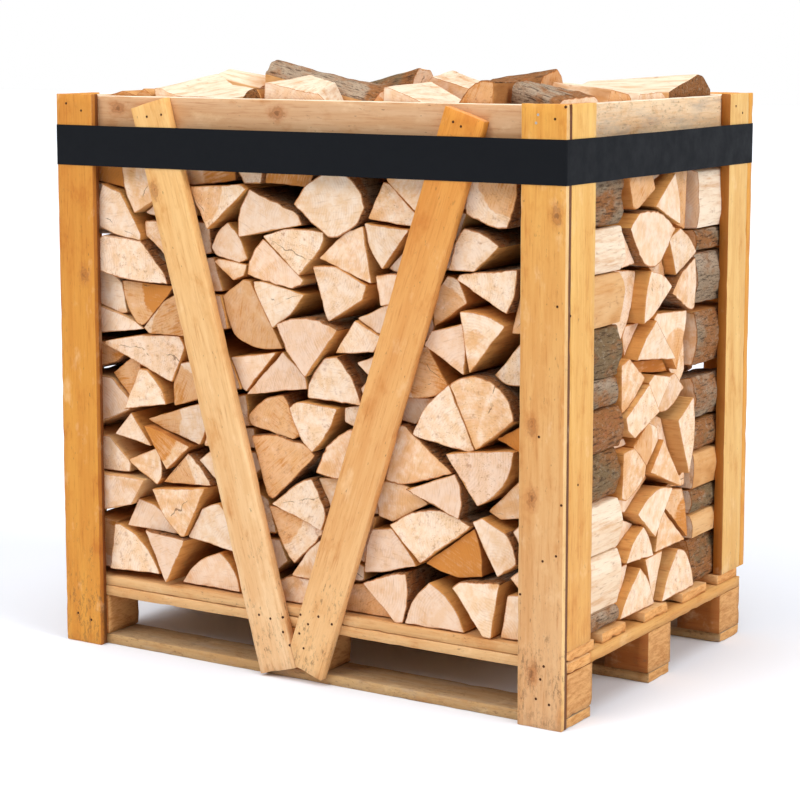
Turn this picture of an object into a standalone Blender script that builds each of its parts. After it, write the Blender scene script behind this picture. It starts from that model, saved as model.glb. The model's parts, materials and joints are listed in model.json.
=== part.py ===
"""Pallet crate of split firewood.

A 1200 mm long wooden pallet carries four corner posts, four top rails and two V braces. Three rows
of split logs are stacked in it, with loose logs on top, and a printed band wraps the posts below
the rails. Metres, +Z up, origin on the floor under the middle of the pallet. The front is at -Y.
"""
import math

import bmesh
import bpy
from mathutils import Matrix, Vector

# ---- driving dimensions (metres) ----
LENGTH = 1.200          # pallet along X
DEPTH = 0.790           # pallet along Y
HEIGHT = 1.165          # floor to the top of the corner posts
BOARD = 0.021           # thickness of every sawn plank
GAP = 0.0003            # clearance between touching pieces

RUNNER_W = 0.096
BLOCK_H = 0.084
BLOCK_X = 0.098
BLOCK_Y = 0.102
STRINGER_W = 0.098
POST_W = 0.095
RAIL_H = 0.120
RAIL_DROP = 0.003       # rail top below the post tops
BRACE_W = 0.090
BAND_TOP = 1.101
BAND_H = 0.083
BAND_T = 0.0010         # plastic film, folded double
EDGE = 0.0012           # worn edge of a plank

HALF_X = LENGTH / 2
HALF_Y = DEPTH / 2
DECK_TOP = 3 * BOARD + BLOCK_H
RAIL_TOP = HEIGHT - RAIL_DROP
RAIL_BOTTOM = RAIL_TOP - RAIL_H

# Deck boards: (near edge from the front, width, how far each end stays back from the pallet's end)
DECK_BOARDS = (
    (0.002, 0.112, 0.002, 0.003),
    (0.158, 0.100, 0.006, 0.008),
    (0.336, 0.106, 0.004, 0.005),
    (0.510, 0.118, 0.007, 0.004),
    (0.688, 0.100, 0.003, 0.006),
)

# V brace on the long faces: x of each plank's centre line at its top and bottom end
BRACE_LEFT = ((-0.360, 1.150), (-0.046, 0.016))
BRACE_RIGHT = ((0.386, 1.144), (0.0155, 0.0255))

# ---- the stack (metres) ----
END_RELIEF = 0.047      # how far the log ends stand out of a row's closed core
CORE_INSET = 0.005
LOG_GAP = 0.0030        # air between neighbouring logs
ROW_FRONT = HALF_Y - 0.003
FRONT_ROW_BACK = -0.147
MIDDLE_ROW = (-0.143, 0.189)
BACK_ROW_FRONT = 0.193
MIDDLE_END = 0.588
ROW_REACH = HALF_X - BOARD - 0.002
CORE_X = 0.550
PLAN_DROP = 0.0017      # plan heights are from 15 cm, just above the deck
CORE_TOP = 1.050
TOP_COURSE = (1.038, 1.083)
CM = 0.01
FLAT_CROWN = 0.095      # a barked side that swells less than this is drawn with two chords
ROUND_CROWN = 0.2       # and less than this with three

# A row's plan, course by course from the deck up. Each log is (setback, corner, corner, ...), all in
# centimetres. A corner is (across, height) or (across, height, crown): crown is how far the side that
# leaves this corner swells, in percent of its length, which makes it the barked side.
# Across runs from the crate's left end in the long rows.
LONG_ROW = (
    # on the deck, left of the brace
    (2.5, (2.4, 16.0), (9.3, 16.2), (10.6, 26.4), (5.0, 27.2), (2.4, 25.0)),
    (1.0, (9.7, 16.4), (22.5, 16.8, 12), (12.5, 26.0), (11.0, 26.0)),
    (0.0, (19.9, 25.8), (25.1, 15.4), (30.3, 25.1)),
    (2.5, (27.6, 15.4), (42.6, 15.4, 12), (37.4, 22.8, 10)),
    (2.0, (43.3, 15.2), (50.6, 15.2), (50.0, 19.5), (44.0, 22.8)),
    (2.5, (43.2, 23.4), (50.2, 19.8), (54.3, 23.3), (52.6, 27.5), (43.4, 27.6)),
    # second and third courses, left
    (0.0, (2.4, 27.6), (16.2, 31.0), (19.8, 36.6), (2.4, 37.0)),
    (1.5, (14.3, 26.2), (27.3, 25.8, 12), (17.2, 32.0)),
    (0.0, (22.0, 35.0, 8), (29.0, 25.8), (30.0, 25.8), (35.5, 36.5)),
    (1.5, (30.4, 25.6), (42.8, 23.6), (41.0, 29.5), (38.2, 33.6), (33.8, 31.8)),
    (1.5, (2.4, 37.3), (15.0, 37.7), (15.3, 40.0), (10.0, 44.6), (2.4, 45.0)),
    (1.0, (14.5, 40.2), (22.5, 35.8), (23.8, 37.5, 8), (22.9, 43.5)),
    (1.0, (11.3, 45.5), (21.0, 43.9), (15.9, 50.4)),
    (0.0, (20.2, 48.2), (25.6, 39.5), (31.5, 44.8), (24.0, 47.5)),
    (1.5, (20.3, 49.5), (24.0, 47.9), (33.3, 45.4, 8), (35.0, 50.5), (34.0, 54.0)),
    (1.0, (24.0, 36.5), (36.7, 37.1, 6), (31.0, 43.4)),
    (2.0, (33.0, 42.0), (38.5, 37.2), (44.0, 38.0), (48.5, 42.0), (47.0, 44.8), (37.5, 44.6)),
    (2.0, (40.5, 33.8), (42.0, 28.0), (52.0, 29.0), (50.0, 35.5), (45.0, 38.0)),
    # left, up to half height
    (2.0, (2.4, 45.6), (14.5, 50.8), (14.3, 53.0), (10.0, 57.0), (2.4, 57.5)),
    (2.5, (10.0, 58.2), (14.6, 53.6), (17.3, 57.8), (17.0, 61.3), (15.2, 62.0)),
    (0.5, (14.6, 51.3), (25.3, 53.2), (24.5, 55.5), (20.5, 59.9), (18.4, 59.8)),
    (1.5, (26.8, 57.5), (27.0, 52.9), (33.8, 55.0), (33.0, 59.0), (31.5, 62.2), (28.5, 61.8)),
    (1.0, (9.4, 65.0), (9.8, 64.4), (26.8, 57.8), (28.7, 62.0), (29.8, 65.3), (28.5, 67.4), (18.0, 66.8)),
    (2.5, (2.4, 58.2), (10.3, 60.4), (13.3, 62.6), (9.0, 64.5), (2.4, 65.4)),
    (1.5, (2.4, 66.0), (19.6, 68.4), (15.0, 70.6), (2.4, 73.5)),
    (1.0, (19.8, 68.7), (21.0, 67.5), (29.9, 67.5, 10), (27.7, 75.8), (24.8, 74.4)),
    (1.5, (13.5, 78.0, 10), (17.8, 69.0), (19.6, 69.3), (24.4, 74.3), (27.4, 77.6)),
    (2.0, (2.4, 74.2), (12.8, 71.1), (14.4, 71.4), (13.3, 77.5), (10.0, 80.0), (2.4, 81.0)),
    (1.0, (30.5, 67.8), (41.0, 70.0), (39.3, 76.5), (29.0, 76.0)),
    (1.5, (33.0, 60.0), (34.5, 55.5), (44.5, 58.0), (42.5, 63.0), (31.0, 66.8)),
    (2.0, (35.8, 50.0), (46.0, 50.3), (44.8, 56.5), (35.0, 54.8)),
    (2.0, (34.5, 45.3), (47.0, 46.0), (46.5, 49.8), (36.0, 49.5)),
    # left, above half height
    (0.0, (2.4, 81.8), (8.5, 81.5), (13.6, 78.8), (26.5, 78.2), (25.3, 80.5), (19.8, 86.7), (10.0, 87.3)),
    (0.0, (8.9, 89.3), (12.6, 88.0), (19.6, 86.9), (19.5, 88.5), (14.8, 96.5), (10.2, 98.0), (8.8, 94.0)),
    (1.5, (2.4, 87.5), (8.6, 88.6), (8.4, 94.0), (9.4, 98.0), (2.4, 98.8)),
    (0.5, (14.6, 103.4, 8), (18.0, 92.3), (22.8, 95.0), (23.0, 103.4)),
    (1.5, (2.4, 99.5), (14.6, 97.6), (14.3, 103.4), (2.4, 103.4)),
    (2.0, (19.8, 92.4), (26.0, 91.0), (27.0, 93.0), (23.2, 94.8)),
    (1.5, (20.2, 87.8), (26.5, 83.0), (25.6, 91.0), (20.0, 90.7)),
    (2.0, (23.5, 95.5), (27.8, 98.5), (27.8, 103.4), (23.3, 103.4)),
    (2.0, (27.3, 92.0), (33.0, 92.5), (32.0, 98.4), (28.0, 98.6), (25.0, 96.0)),
    (2.0, (27.0, 83.0), (36.5, 85.0), (36.0, 91.0), (27.0, 91.3)),
    (2.0, (28.0, 76.5), (39.0, 77.5), (37.0, 84.0), (27.0, 82.3)),
    # middle of the long side, top down
    (1.5, (28.0, 99.0), (33.0, 98.8), (43.5, 100.0), (43.0, 103.4), (28.0, 103.4)),
    (0.0, (32.5, 98.2), (36.8, 90.0), (46.8, 98.4), (45.5, 99.4)),
    (1.0, (42.6, 103.4), (45.3, 99.6), (49.8, 99.7), (50.5, 103.4)),
    (2.0, (50.3, 99.8), (60.8, 99.4), (62.0, 103.4), (50.7, 103.4)),
    (0.5, (46.8, 98.4, 10), (44.5, 88.8), (60.0, 92.0), (58.0, 94.3)),
    (0.0, (58.3, 95.9), (65.8, 90.3), (68.8, 89.9, 12), (74.9, 96.0, 14), (69.0, 102.6, 14)),
    (1.0, (75.3, 93.9), (84.7, 92.8), (85.8, 95.0), (80.3, 100.3), (78.7, 101.0)),
    (0.5, (79.5, 103.4), (79.8, 101.3), (86.0, 95.8), (89.0, 97.0), (89.0, 103.4)),
    (0.5, (74.6, 92.8, 9), (78.7, 84.3), (84.4, 92.0)),
    (0.5, (64.0, 85.5), (75.0, 81.5), (75.8, 81.6), (74.2, 92.2), (70.5, 91.0)),
    (0.5, (50.4, 89.2), (59.1, 81.8), (64.5, 88.0), (65.0, 90.6), (57.0, 91.0)),
    (1.0, (50.2, 88.7, 10), (46.0, 81.2), (55.8, 79.3), (59.0, 79.8), (60.0, 81.0)),
    (0.5, (62.6, 83.8), (64.8, 76.0), (66.0, 73.3), (74.0, 78.0), (75.0, 80.8), (68.0, 84.0)),
    (1.5, (36.9, 86.2), (38.0, 84.8), (44.0, 83.5), (46.0, 84.4, 9), (41.0, 91.3), (38.8, 89.5)),
    (1.5, (37.6, 83.3), (42.3, 79.8), (45.0, 81.0), (45.8, 83.2), (39.0, 84.0)),
    (1.5, (47.5, 79.8), (45.0, 80.2), (39.8, 76.5), (41.5, 70.5), (44.2, 67.7, 9), (54.8, 66.9), (51.2, 71.0)),
    (1.0, (47.7, 79.9, 8), (52.0, 70.6), (56.2, 73.4), (60.0, 78.0), (51.5, 79.8)),
    (0.0, (53.8, 72.0, 7), (60.6, 61.8), (68.6, 71.8), (63.0, 73.5), (58.0, 73.2)),
    (1.0, (45.9, 57.0), (60.4, 59.4), (60.0, 61.8), (54.7, 66.2)),
    (1.5, (41.0, 64.0), (43.5, 58.5), (45.3, 57.5), (52.5, 65.8)),
    (1.0, (61.0, 61.0), (60.7, 57.6), (73.5, 57.2, 8), (68.0, 66.2), (64.8, 65.8)),
    (0.5, (67.7, 67.1), (76.5, 68.0), (78.0, 71.0), (72.4, 73.8)),
    (1.0, (72.8, 74.3), (77.5, 71.6), (83.0, 72.0), (84.0, 76.5), (80.0, 77.5)),
    (1.0, (76.8, 82.8), (78.1, 76.8), (86.0, 78.0), (87.0, 82.0), (81.5, 83.4)),
    (2.0, (79.2, 84.3), (82.0, 83.6), (90.0, 84.5), (90.0, 90.0), (84.8, 89.8)),
    (2.0, (72.0, 65.3), (75.0, 62.8), (80.0, 62.5), (82.0, 66.5), (77.0, 67.2)),
    (0.5, (56.4, 55.2, 10), (62.0, 46.9, 8), (68.0, 56.0), (59.0, 56.5)),
    (1.5, (45.5, 52.5), (46.5, 50.6), (57.0, 48.8), (58.8, 50.0), (57.0, 53.5), (54.4, 57.5), (50.0, 56.3)),
    (1.0, (47.3, 48.6), (49.5, 42.0), (50.8, 36.3), (53.0, 37.0), (62.3, 46.0), (60.0, 48.0), (53.0, 49.3)),
    (1.0, (62.5, 42.7), (68.0, 42.0), (74.0, 43.5), (75.0, 51.0), (71.0, 52.2), (67.0, 50.0), (64.4, 47.0)),
    (0.5, (52.3, 35.3), (64.0, 31.3), (65.2, 34.6, 5), (61.8, 41.3), (58.7, 40.3)),
    (2.5, (62.3, 41.3), (65.6, 34.6), (70.0, 35.0), (72.0, 40.0), (68.0, 41.6)),
    (1.5, (51.0, 34.5), (54.0, 27.0), (56.8, 23.3), (63.0, 29.5), (63.8, 31.0), (54.0, 34.3)),
    (1.5, (56.6, 21.0), (66.0, 20.5), (67.0, 27.0), (63.0, 28.7), (60.2, 26.2)),
    (2.0, (51.2, 15.2), (66.0, 15.2), (66.0, 19.8), (60.5, 20.0), (56.5, 20.6), (52.0, 19.0)),
    # behind the right brace
    (2.0, (89.5, 97.5), (97.0, 96.3), (97.2, 103.4), (89.3, 103.4)),
    (2.0, (86.2, 95.0), (85.0, 91.0), (94.5, 90.5), (96.3, 95.6), (89.5, 97.0)),
    (2.0, (90.5, 84.2), (93.2, 85.3), (94.5, 90.0), (90.4, 90.0)),
    (2.0, (87.5, 77.5), (88.8, 77.0), (92.0, 83.5), (87.5, 83.8)),
    (2.0, (83.5, 72.0), (88.0, 71.0), (89.4, 73.5), (88.6, 77.0), (84.5, 76.8)),
    (2.0, (77.5, 68.0), (83.0, 66.5), (83.8, 69.3), (83.0, 71.8), (78.5, 71.0)),
    (2.0, (73.8, 57.3), (83.0, 59.3), (80.0, 62.0), (74.8, 62.3), (72.8, 60.3)),
    (2.0, (69.0, 53.5), (71.5, 52.5), (79.6, 54.5), (79.6, 58.5), (74.0, 57.0), (69.0, 56.5)),
    (2.0, (75.5, 51.0), (75.0, 44.0), (78.8, 43.3), (81.5, 53.8), (79.8, 54.2)),
    (2.0, (72.5, 40.0), (71.0, 35.5), (76.8, 35.8), (75.8, 41.8), (73.0, 43.0)),
    (2.0, (66.0, 33.0), (67.5, 27.5), (73.5, 25.5), (74.3, 30.0), (75.8, 33.0), (76.5, 35.3), (70.5, 34.7)),
    (2.0, (66.8, 21.0), (68.0, 20.8), (73.3, 22.0), (73.5, 24.8), (67.5, 26.8)),
    # right of the braces, from the deck up
    (2.5, (66.6, 15.2), (80.3, 15.2), (73.5, 21.2), (67.0, 20.2)),
    (0.5, (74.0, 21.8), (81.5, 15.0), (83.0, 15.0, 9), (84.0, 25.1), (80.0, 24.3)),
    (0.5, (83.8, 15.2), (97.0, 15.2, 10), (90.6, 23.4), (89.4, 24.0, 9)),
    (0.0, (94.8, 24.0), (101.6, 15.2), (103.2, 15.2), (105.0, 26.0), (97.0, 25.2)),
    (1.0, (74.0, 24.0), (79.0, 24.8), (86.0, 26.8), (85.0, 28.3), (80.5, 33.5), (76.0, 32.8), (74.5, 30.0)),
    (0.5, (80.3, 34.3), (87.3, 27.7), (94.0, 33.0), (99.0, 36.5, 8), (89.8, 38.4, 8)),
    (1.5, (88.0, 27.5), (94.0, 25.8), (100.6, 26.5, 6), (98.7, 35.5)),
    (0.0, (84.2, 41.7), (96.0, 37.0, 12), (95.2, 46.0)),
    (1.5, (76.0, 42.0), (77.0, 35.5), (80.5, 34.8), (82.5, 36.5), (88.4, 39.2), (84.0, 42.0), (79.0, 42.7)),
    (1.0, (79.0, 43.0), (83.5, 42.6), (94.7, 46.1), (91.0, 48.0), (85.5, 53.2), (82.0, 54.0)),
    (0.0, (93.5, 49.8), (100.2, 40.4, 14), (108.0, 51.7), (100.0, 50.8)),
    (0.5, (99.1, 37.2), (104.3, 27.1), (108.4, 30.0, 9), (106.3, 35.6), (101.0, 38.0)),
    (0.5, (85.2, 52.5), (97.0, 50.7), (99.3, 51.0), (93.7, 63.0, 8)),
    (0.0, (94.1, 63.3), (99.9, 51.2), (108.0, 57.5, 30)),
    (1.5, (83.0, 59.5), (85.3, 59.6), (90.0, 60.6), (92.7, 62.8), (88.3, 69.8), (84.0, 69.0)),
    (3.0, (80.0, 55.0), (84.7, 54.3), (89.0, 59.8), (80.0, 59.0)),
    (0.5, (88.3, 70.3), (96.8, 65.3), (97.0, 70.0), (96.3, 74.8), (89.7, 73.0)),
    (0.0, (96.3, 77.3), (97.6, 70.0), (98.3, 65.7), (106.0, 75.2, 8)),
    (1.5, (89.8, 74.0), (96.8, 78.8), (95.0, 83.2), (92.8, 83.7), (89.0, 79.0)),
    (0.5, (94.9, 83.2), (106.2, 77.3, 7), (108.4, 85.8), (97.0, 84.4)),
    (0.5, (93.6, 85.0), (99.0, 85.0), (104.3, 90.0, 9), (96.8, 93.0), (95.0, 90.0)),
    (0.5, (97.2, 95.8), (103.0, 93.5), (106.0, 93.4, 8), (108.0, 103.4), (97.5, 103.4)),
)

# The stack's right-hand column, whose long sides show between the side posts: (setback, corners)
FRONT_COLUMN = (
    (1.5, (104.8, 15.2), (112.5, 15.2), (113.0, 18.0), (110.0, 24.0), (106.2, 23.5)),
    (2.0, (113.0, 15.2), (117.7, 15.2), (117.7, 18.4), (113.5, 18.0)),
    (1.5, (106.0, 26.6), (110.5, 24.3), (113.7, 18.6), (117.7, 18.9), (117.7, 29.6), (110.3, 29.9)),
    (2.0, (107.0, 35.8), (110.5, 30.4), (117.7, 30.2), (117.7, 39.6), (113.0, 39.8), (109.0, 37.6)),
    (1.5, (101.8, 39.3), (105.0, 37.8), (112.5, 40.2), (117.0, 40.2, 10), (117.0, 49.5), (112.0, 49.0)),
    (1.5, (103.3, 53.2), (109.0, 51.0), (117.6, 50.0), (117.6, 57.8), (112.0, 57.8), (108.4, 55.8)),
    (2.0, (108.8, 58.3), (117.0, 58.3, 10), (117.0, 63.4), (109.5, 63.2)),
    (1.5, (103.0, 65.5), (106.0, 64.0), (117.0, 64.0, 10), (117.0, 73.5), (110.0, 73.5), (107.8, 69.3)),
    (2.0, (106.3, 73.6), (109.0, 74.0), (117.6, 74.1), (117.6, 83.8), (109.0, 83.8), (107.5, 77.0)),
    (1.5, (109.0, 84.3), (117.6, 84.3), (117.6, 92.6), (109.0, 92.0)),
    (2.0, (109.0, 92.8), (117.0, 93.2, 8), (117.0, 103.4), (109.0, 103.4)),
)
BACK_COLUMN = (
    (1.5, (104.8, 15.2), (117.4, 15.2), (116.4, 24.0), (110.0, 24.4), (106.2, 23.5)),
    (1.5, (106.0, 26.6), (110.5, 24.9), (117.7, 24.8), (117.2, 29.4), (110.0, 30.0)),
    (2.0, (107.0, 34.4), (110.5, 30.4), (117.0, 30.0, 12), (117.0, 34.6)),
    (1.5, (101.8, 39.3), (107.0, 35.4), (117.6, 35.3), (117.7, 42.4), (108.4, 43.0)),
    (2.0, (106.0, 48.4), (108.6, 43.4), (117.0, 43.2, 12), (117.0, 49.2)),
    (1.5, (103.3, 53.2), (109.0, 49.8), (117.0, 50.0, 14), (117.0, 58.4), (108.4, 57.0)),
    (1.5, (104.0, 65.5), (109.0, 60.8), (117.0, 61.2, 12), (117.2, 72.0), (108.0, 72.4)),
    (2.0, (107.0, 79.0), (108.6, 73.6), (117.0, 74.0, 12), (117.0, 84.0), (109.5, 83.8)),
    (2.0, (108.0, 88.6), (109.4, 84.8), (117.3, 85.0), (117.0, 89.0)),
    (1.5, (105.6, 92.4), (108.4, 89.4), (117.7, 89.6), (117.7, 101.0), (108.8, 103.4)),
)

# The middle row's ends: across runs from the crate's front face towards the back.
CROSS_ROW = (
    (0.5, (25.3, 15.2), (40.3, 15.2, 8), (33.3, 24.0, 5)),
    (1.0, (36.5, 25.0), (41.2, 15.4), (44.8, 25.1)),
    (0.0, (42.5, 15.2), (58.2, 15.2, 8), (54.0, 23.0), (50.3, 24.3, 6)),
    (0.5, (27.2, 26.2), (40.0, 25.2, 7), (34.8, 32.0, 9)),
    (1.0, (40.9, 25.5), (55.5, 25.3), (44.2, 34.0)),
    (0.0, (31.8, 35.0), (39.8, 29.0), (46.4, 37.8, 14)),
    (1.5, (44.6, 35.0), (57.5, 25.5, 6), (55.3, 36.0), (46.9, 37.0)),
    (0.5, (23.6, 48.3), (24.5, 39.5), (28.5, 38.3), (35.6, 42.0), (36.0, 44.3), (30.0, 48.6)),
    (0.0, (37.0, 42.6), (51.8, 37.3), (42.5, 48.3)),
    (1.0, (31.0, 48.5), (36.5, 43.8), (42.0, 48.2), (41.7, 50.8), (38.0, 52.5)),
    (0.0, (49.0, 51.3), (54.8, 39.5, 10), (56.8, 54.8)),
    (3.5, (41.8, 53.6), (42.5, 48.9), (52.0, 38.6), (54.0, 39.8), (48.4, 51.5)),
    (1.0, (25.5, 65.5), (26.0, 56.0), (30.5, 57.5), (35.2, 61.8), (28.5, 66.4)),
    (0.0, (26.0, 55.5), (27.0, 52.5), (30.0, 50.7), (40.0, 54.5), (35.0, 60.8), (30.8, 57.3)),
    (0.5, (36.2, 60.7), (40.7, 54.6), (47.0, 60.4), (38.5, 62.0)),
    (1.5, (41.2, 54.0), (48.0, 53.7), (54.8, 57.0), (50.0, 60.8), (47.4, 60.3)),
    (0.0, (30.8, 66.0), (47.2, 64.3), (38.2, 72.9, 6)),
    (1.0, (40.5, 74.0), (39.0, 73.0), (47.8, 64.0), (50.0, 61.5), (54.5, 70.0), (55.0, 73.0)),
    (3.0, (51.0, 61.2), (55.0, 57.6), (57.5, 60.5), (57.5, 66.0), (54.8, 69.0)),
    (0.0, (33.0, 78.0), (33.0, 72.8), (38.0, 74.5), (45.8, 79.0, 7), (35.3, 83.0)),
    (0.5, (46.0, 77.5), (55.0, 73.4), (57.6, 73.3, 9), (57.0, 83.8), (50.0, 81.0)),
    (0.5, (45.0, 88.5), (48.7, 81.0), (57.2, 85.0, 6), (49.7, 90.2)),
    (3.0, (41.0, 84.9), (40.5, 83.3), (45.8, 79.6), (48.3, 80.8), (45.0, 88.0)),
    (0.0, (26.2, 92.0), (32.0, 85.2), (37.0, 83.6), (40.5, 84.8), (46.5, 90.5, 10), (30.0, 94.8)),
    (1.5, (25.6, 91.2), (25.6, 84.5), (31.6, 84.8)),
    (0.5, (25.3, 103.4), (28.5, 96.0), (31.0, 95.6), (38.6, 99.0), (36.0, 103.4)),
    (0.0, (37.0, 95.6), (41.0, 94.8), (49.0, 91.2, 8), (46.3, 101.5)),
    (2.5, (48.6, 103.4), (49.8, 91.6), (56.0, 89.6), (57.0, 103.4)),
    (2.5, (37.0, 103.4), (39.2, 99.6), (45.5, 102.0), (45.5, 103.4)),
    (2.5, (25.3, 24.8), (25.4, 17.0), (29.5, 20.6), (31.5, 24.8)),
    (3.0, (25.3, 35.4), (25.3, 27.6), (31.0, 31.2), (34.6, 32.3)),
    (3.0, (25.4, 38.2), (25.4, 36.2), (31.4, 35.4), (40.5, 40.8), (35.6, 41.6), (28.4, 37.8)),
    (3.0, (29.0, 72.3), (30.4, 66.6), (36.5, 72.6)),
    (3.0, (33.5, 65.0), (35.6, 62.6), (49.4, 61.2), (47.2, 63.8)),
    (2.5, (47.0, 37.6), (55.3, 36.5), (57.6, 36.5), (57.6, 39.0), (54.3, 39.2)),
    (2.5, (25.3, 50.2), (25.3, 49.0), (30.4, 49.2), (29.4, 50.4)),
    (3.0, (25.3, 83.8), (25.3, 66.8), (28.4, 67.0), (32.6, 73.0), (34.6, 83.0)),
)

# Loose logs on top: (lies along, (start, end) along, corners at the start, (left, right) at the end,
# (left, right) height factor at the end). Corners are (across, height above the stack) in centimetres,
# across from the crate's centre. Left is the lower across value.
LOOSE_LOGS = (
    ("Y", (-0.370, -0.130), (-55.0, -41.0), (1.05, 0.95),
     ((-54.5, 0), (-39.5, 0), (-38.2, 8.2), (-40.3, 9.4), (-42.4, 8.2), (-46.0, 8.9), (-54.0, 7.0))),
    ("Y", (-0.370, -0.130), (-40.2, -25.0), (1.25, 1.08),
     ((-37.6, 0), (-20.0, 0), (-18.8, 5.5), (-19.4, 7.8), (-32.0, 8.2), (-35.8, 9.6), (-37.3, 9.6))),
    ("Y", (-0.370, -0.132), (-24.2, -17.4), (0.93, 0.93),
     ((-18.0, 0), (-11.2, 0), (-11.0, 8.0), (-12.0, 10.0), (-14.6, 9.0), (-17.6, 4.0))),
    ("Y", (-0.370, -0.128), (-16.2, -6.5), (1.08, 1.19),
     ((-10.4, 0), (8.5, 0), (8.8, 4.5), (2.9, 9.1), (-2.6, 9.9), (-8.9, 11.0), (-10.2, 11.0))),
    ("Y", (-0.370, -0.130), (12.4, 27.6), (1.06, 0.80),
     ((17.4, 0), (31.0, 0), (31.6, 4.0), (26.7, 8.0), (18.9, 10.6), (17.9, 10.5))),
    ("Y", (-0.370, -0.160), (28.6, 36.2), (1.05, 0.95),
     ((33.0, 0), (42.2, 0), (42.0, 12.0), (38.5, 11.8), (35.3, 8.7), (33.2, 4.0))),
    ("X", (0.400, 0.555), (-36.6, -18.4), (0.73, 0.87),
     ((-26.4, 0), (-10.0, 0), (-9.6, 6.5), (-13.0, 10.9), (-24.8, 11.6), (-26.6, 8.0))),
    ("X", (-0.280, -0.010), (-12.0, 1.2), (0.52, 0.78),
     ((-11.8, 0), (1.0, 0), (1.2, 8.0), (0.0, 12.4), (-7.6, 14.8), (-11.6, 12.8))),
    ("X", (-0.220, 0.000), (1.8, 12.8), (1.70, 1.68),
     ((1.8, 0), (12.6, 0), (12.8, 5.0), (9.0, 7.6), (4.2, 7.9), (2.0, 5.6))),
    ("Y", (-0.110, 0.130), (1.6, 13.0), (1.07, 1.02),
     ((11.4, 0), (22.0, 0), (21.6, 9.8), (12.9, 12.0), (11.6, 11.0))),
    ("X", (-0.420, -0.295), (-11.8, 1.1), (0.80, 0.95),
     ((-11.6, 0), (0.8, 0), (1.1, 7.5), (-1.5, 11.8), (-5.5, 12.9), (-11.2, 11.4), (-11.8, 8.0))),
    ("X", (0.225, 0.370), (-10.4, 1.4), (1.17, 1.20),
     ((-10.4, 0), (1.2, 0), (1.4, 5.5), (-1.2, 10.2), (-3.2, 11.6), (-10.0, 9.6))),
    ("X", (0.385, 0.555), (-16.8, -5.0), (0.91, 0.88),
     ((-8.2, 0), (0.2, 0), (0.6, 5.5), (-1.6, 10.2), (-7.0, 11.2), (-8.4, 8.0))),
    ("X", (0.310, 0.552), (-3.6, 9.6), (0.86, 0.87),
     ((4.0, 0), (14.6, 0), (15.0, 8.6), (12.6, 10.6), (5.0, 10.4), (3.8, 7.4))),
    ("X", (0.290, 0.553), (10.2, 29.6), (1.05, 1.22),
     ((16.0, 0), (32.0, 0), (32.2, 7.5), (29.0, 10.2), (27.0, 10.6), (16.4, 8.6))),
    ("Y", (-0.116, 0.130), (-55.0, -46.0), (1.10, 1.00),
     ((-54.4, 0), (-44.4, 0), (-44.0, 6.2), (-48.6, 9.0), (-54.2, 5.6))),
    ("Y", (0.022, 0.265), (-42.0, -27.6), (0.92, 1.08),
     ((-43.0, 0), (-29.6, 0), (-29.2, 7.0), (-33.5, 9.2), (-42.6, 7.8))),
    ("Y", (0.136, 0.372), (-22.0, -8.5), (0.95, 1.05),
     ((-21.0, 0), (-9.0, 0), (-8.4, 6.6), (-14.0, 9.4), (-20.6, 5.0))),
    ("Y", (0.140, 0.372), (7.0, 21.0), (1.0, 0.9),
     ((5.6, 0), (19.4, 0), (20.0, 3.6), (11.8, 9.6), (6.2, 9.2))),
)

# ---- finishes (linear RGB) ----
PINE = (0.78, 0.42, 0.11)
PALE_PINE = (0.70, 0.46, 0.23)
BEECH = (0.80, 0.60, 0.38)
BAND_FILM = (0.013, 0.018, 0.028)


def collection(name):
    """Return the named collection, made and linked if it isn't there."""
    found = bpy.data.collections.get(name)
    if found is None:
        found = bpy.data.collections.new(name)
        bpy.context.scene.collection.children.link(found)
    return found


def material(name, colour, roughness):
    """Return a Principled material with this colour and roughness."""
    found = bpy.data.materials.new(name)
    found.use_nodes = True
    shader = found.node_tree.nodes["Principled BSDF"]
    shader.inputs["Base Color"].default_value = (*colour, 1.0)
    shader.inputs["Roughness"].default_value = roughness
    return found


def adopt(obj, name, finish, group="firewood_pallet"):
    """Name an object, give it its material and move it to a collection."""
    obj.name = name
    obj.data.name = name
    obj.data.materials.clear()
    obj.data.materials.append(finish)
    for owner in list(obj.users_collection):
        owner.objects.unlink(obj)
    collection(group).objects.link(obj)
    return obj


def board(name, size, centre, colour=PALE_PINE, lean=0.0, worn=True):
    """A sawn board: its size along X, Y and Z, turned about Y by lean, with worn edges if asked."""
    bpy.ops.mesh.primitive_cube_add(size=1.0)
    obj = bpy.context.object
    obj.data.transform(Matrix.Diagonal((*size, 1.0)))
    obj.location = centre
    obj.rotation_euler = (0.0, lean, 0.0)
    if worn:
        bevel = obj.modifiers.new("worn_edges", "BEVEL")
        bevel.width = EDGE
        bevel.segments = 1
    return adopt(obj, name, material(name, colour, 0.7))


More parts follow.
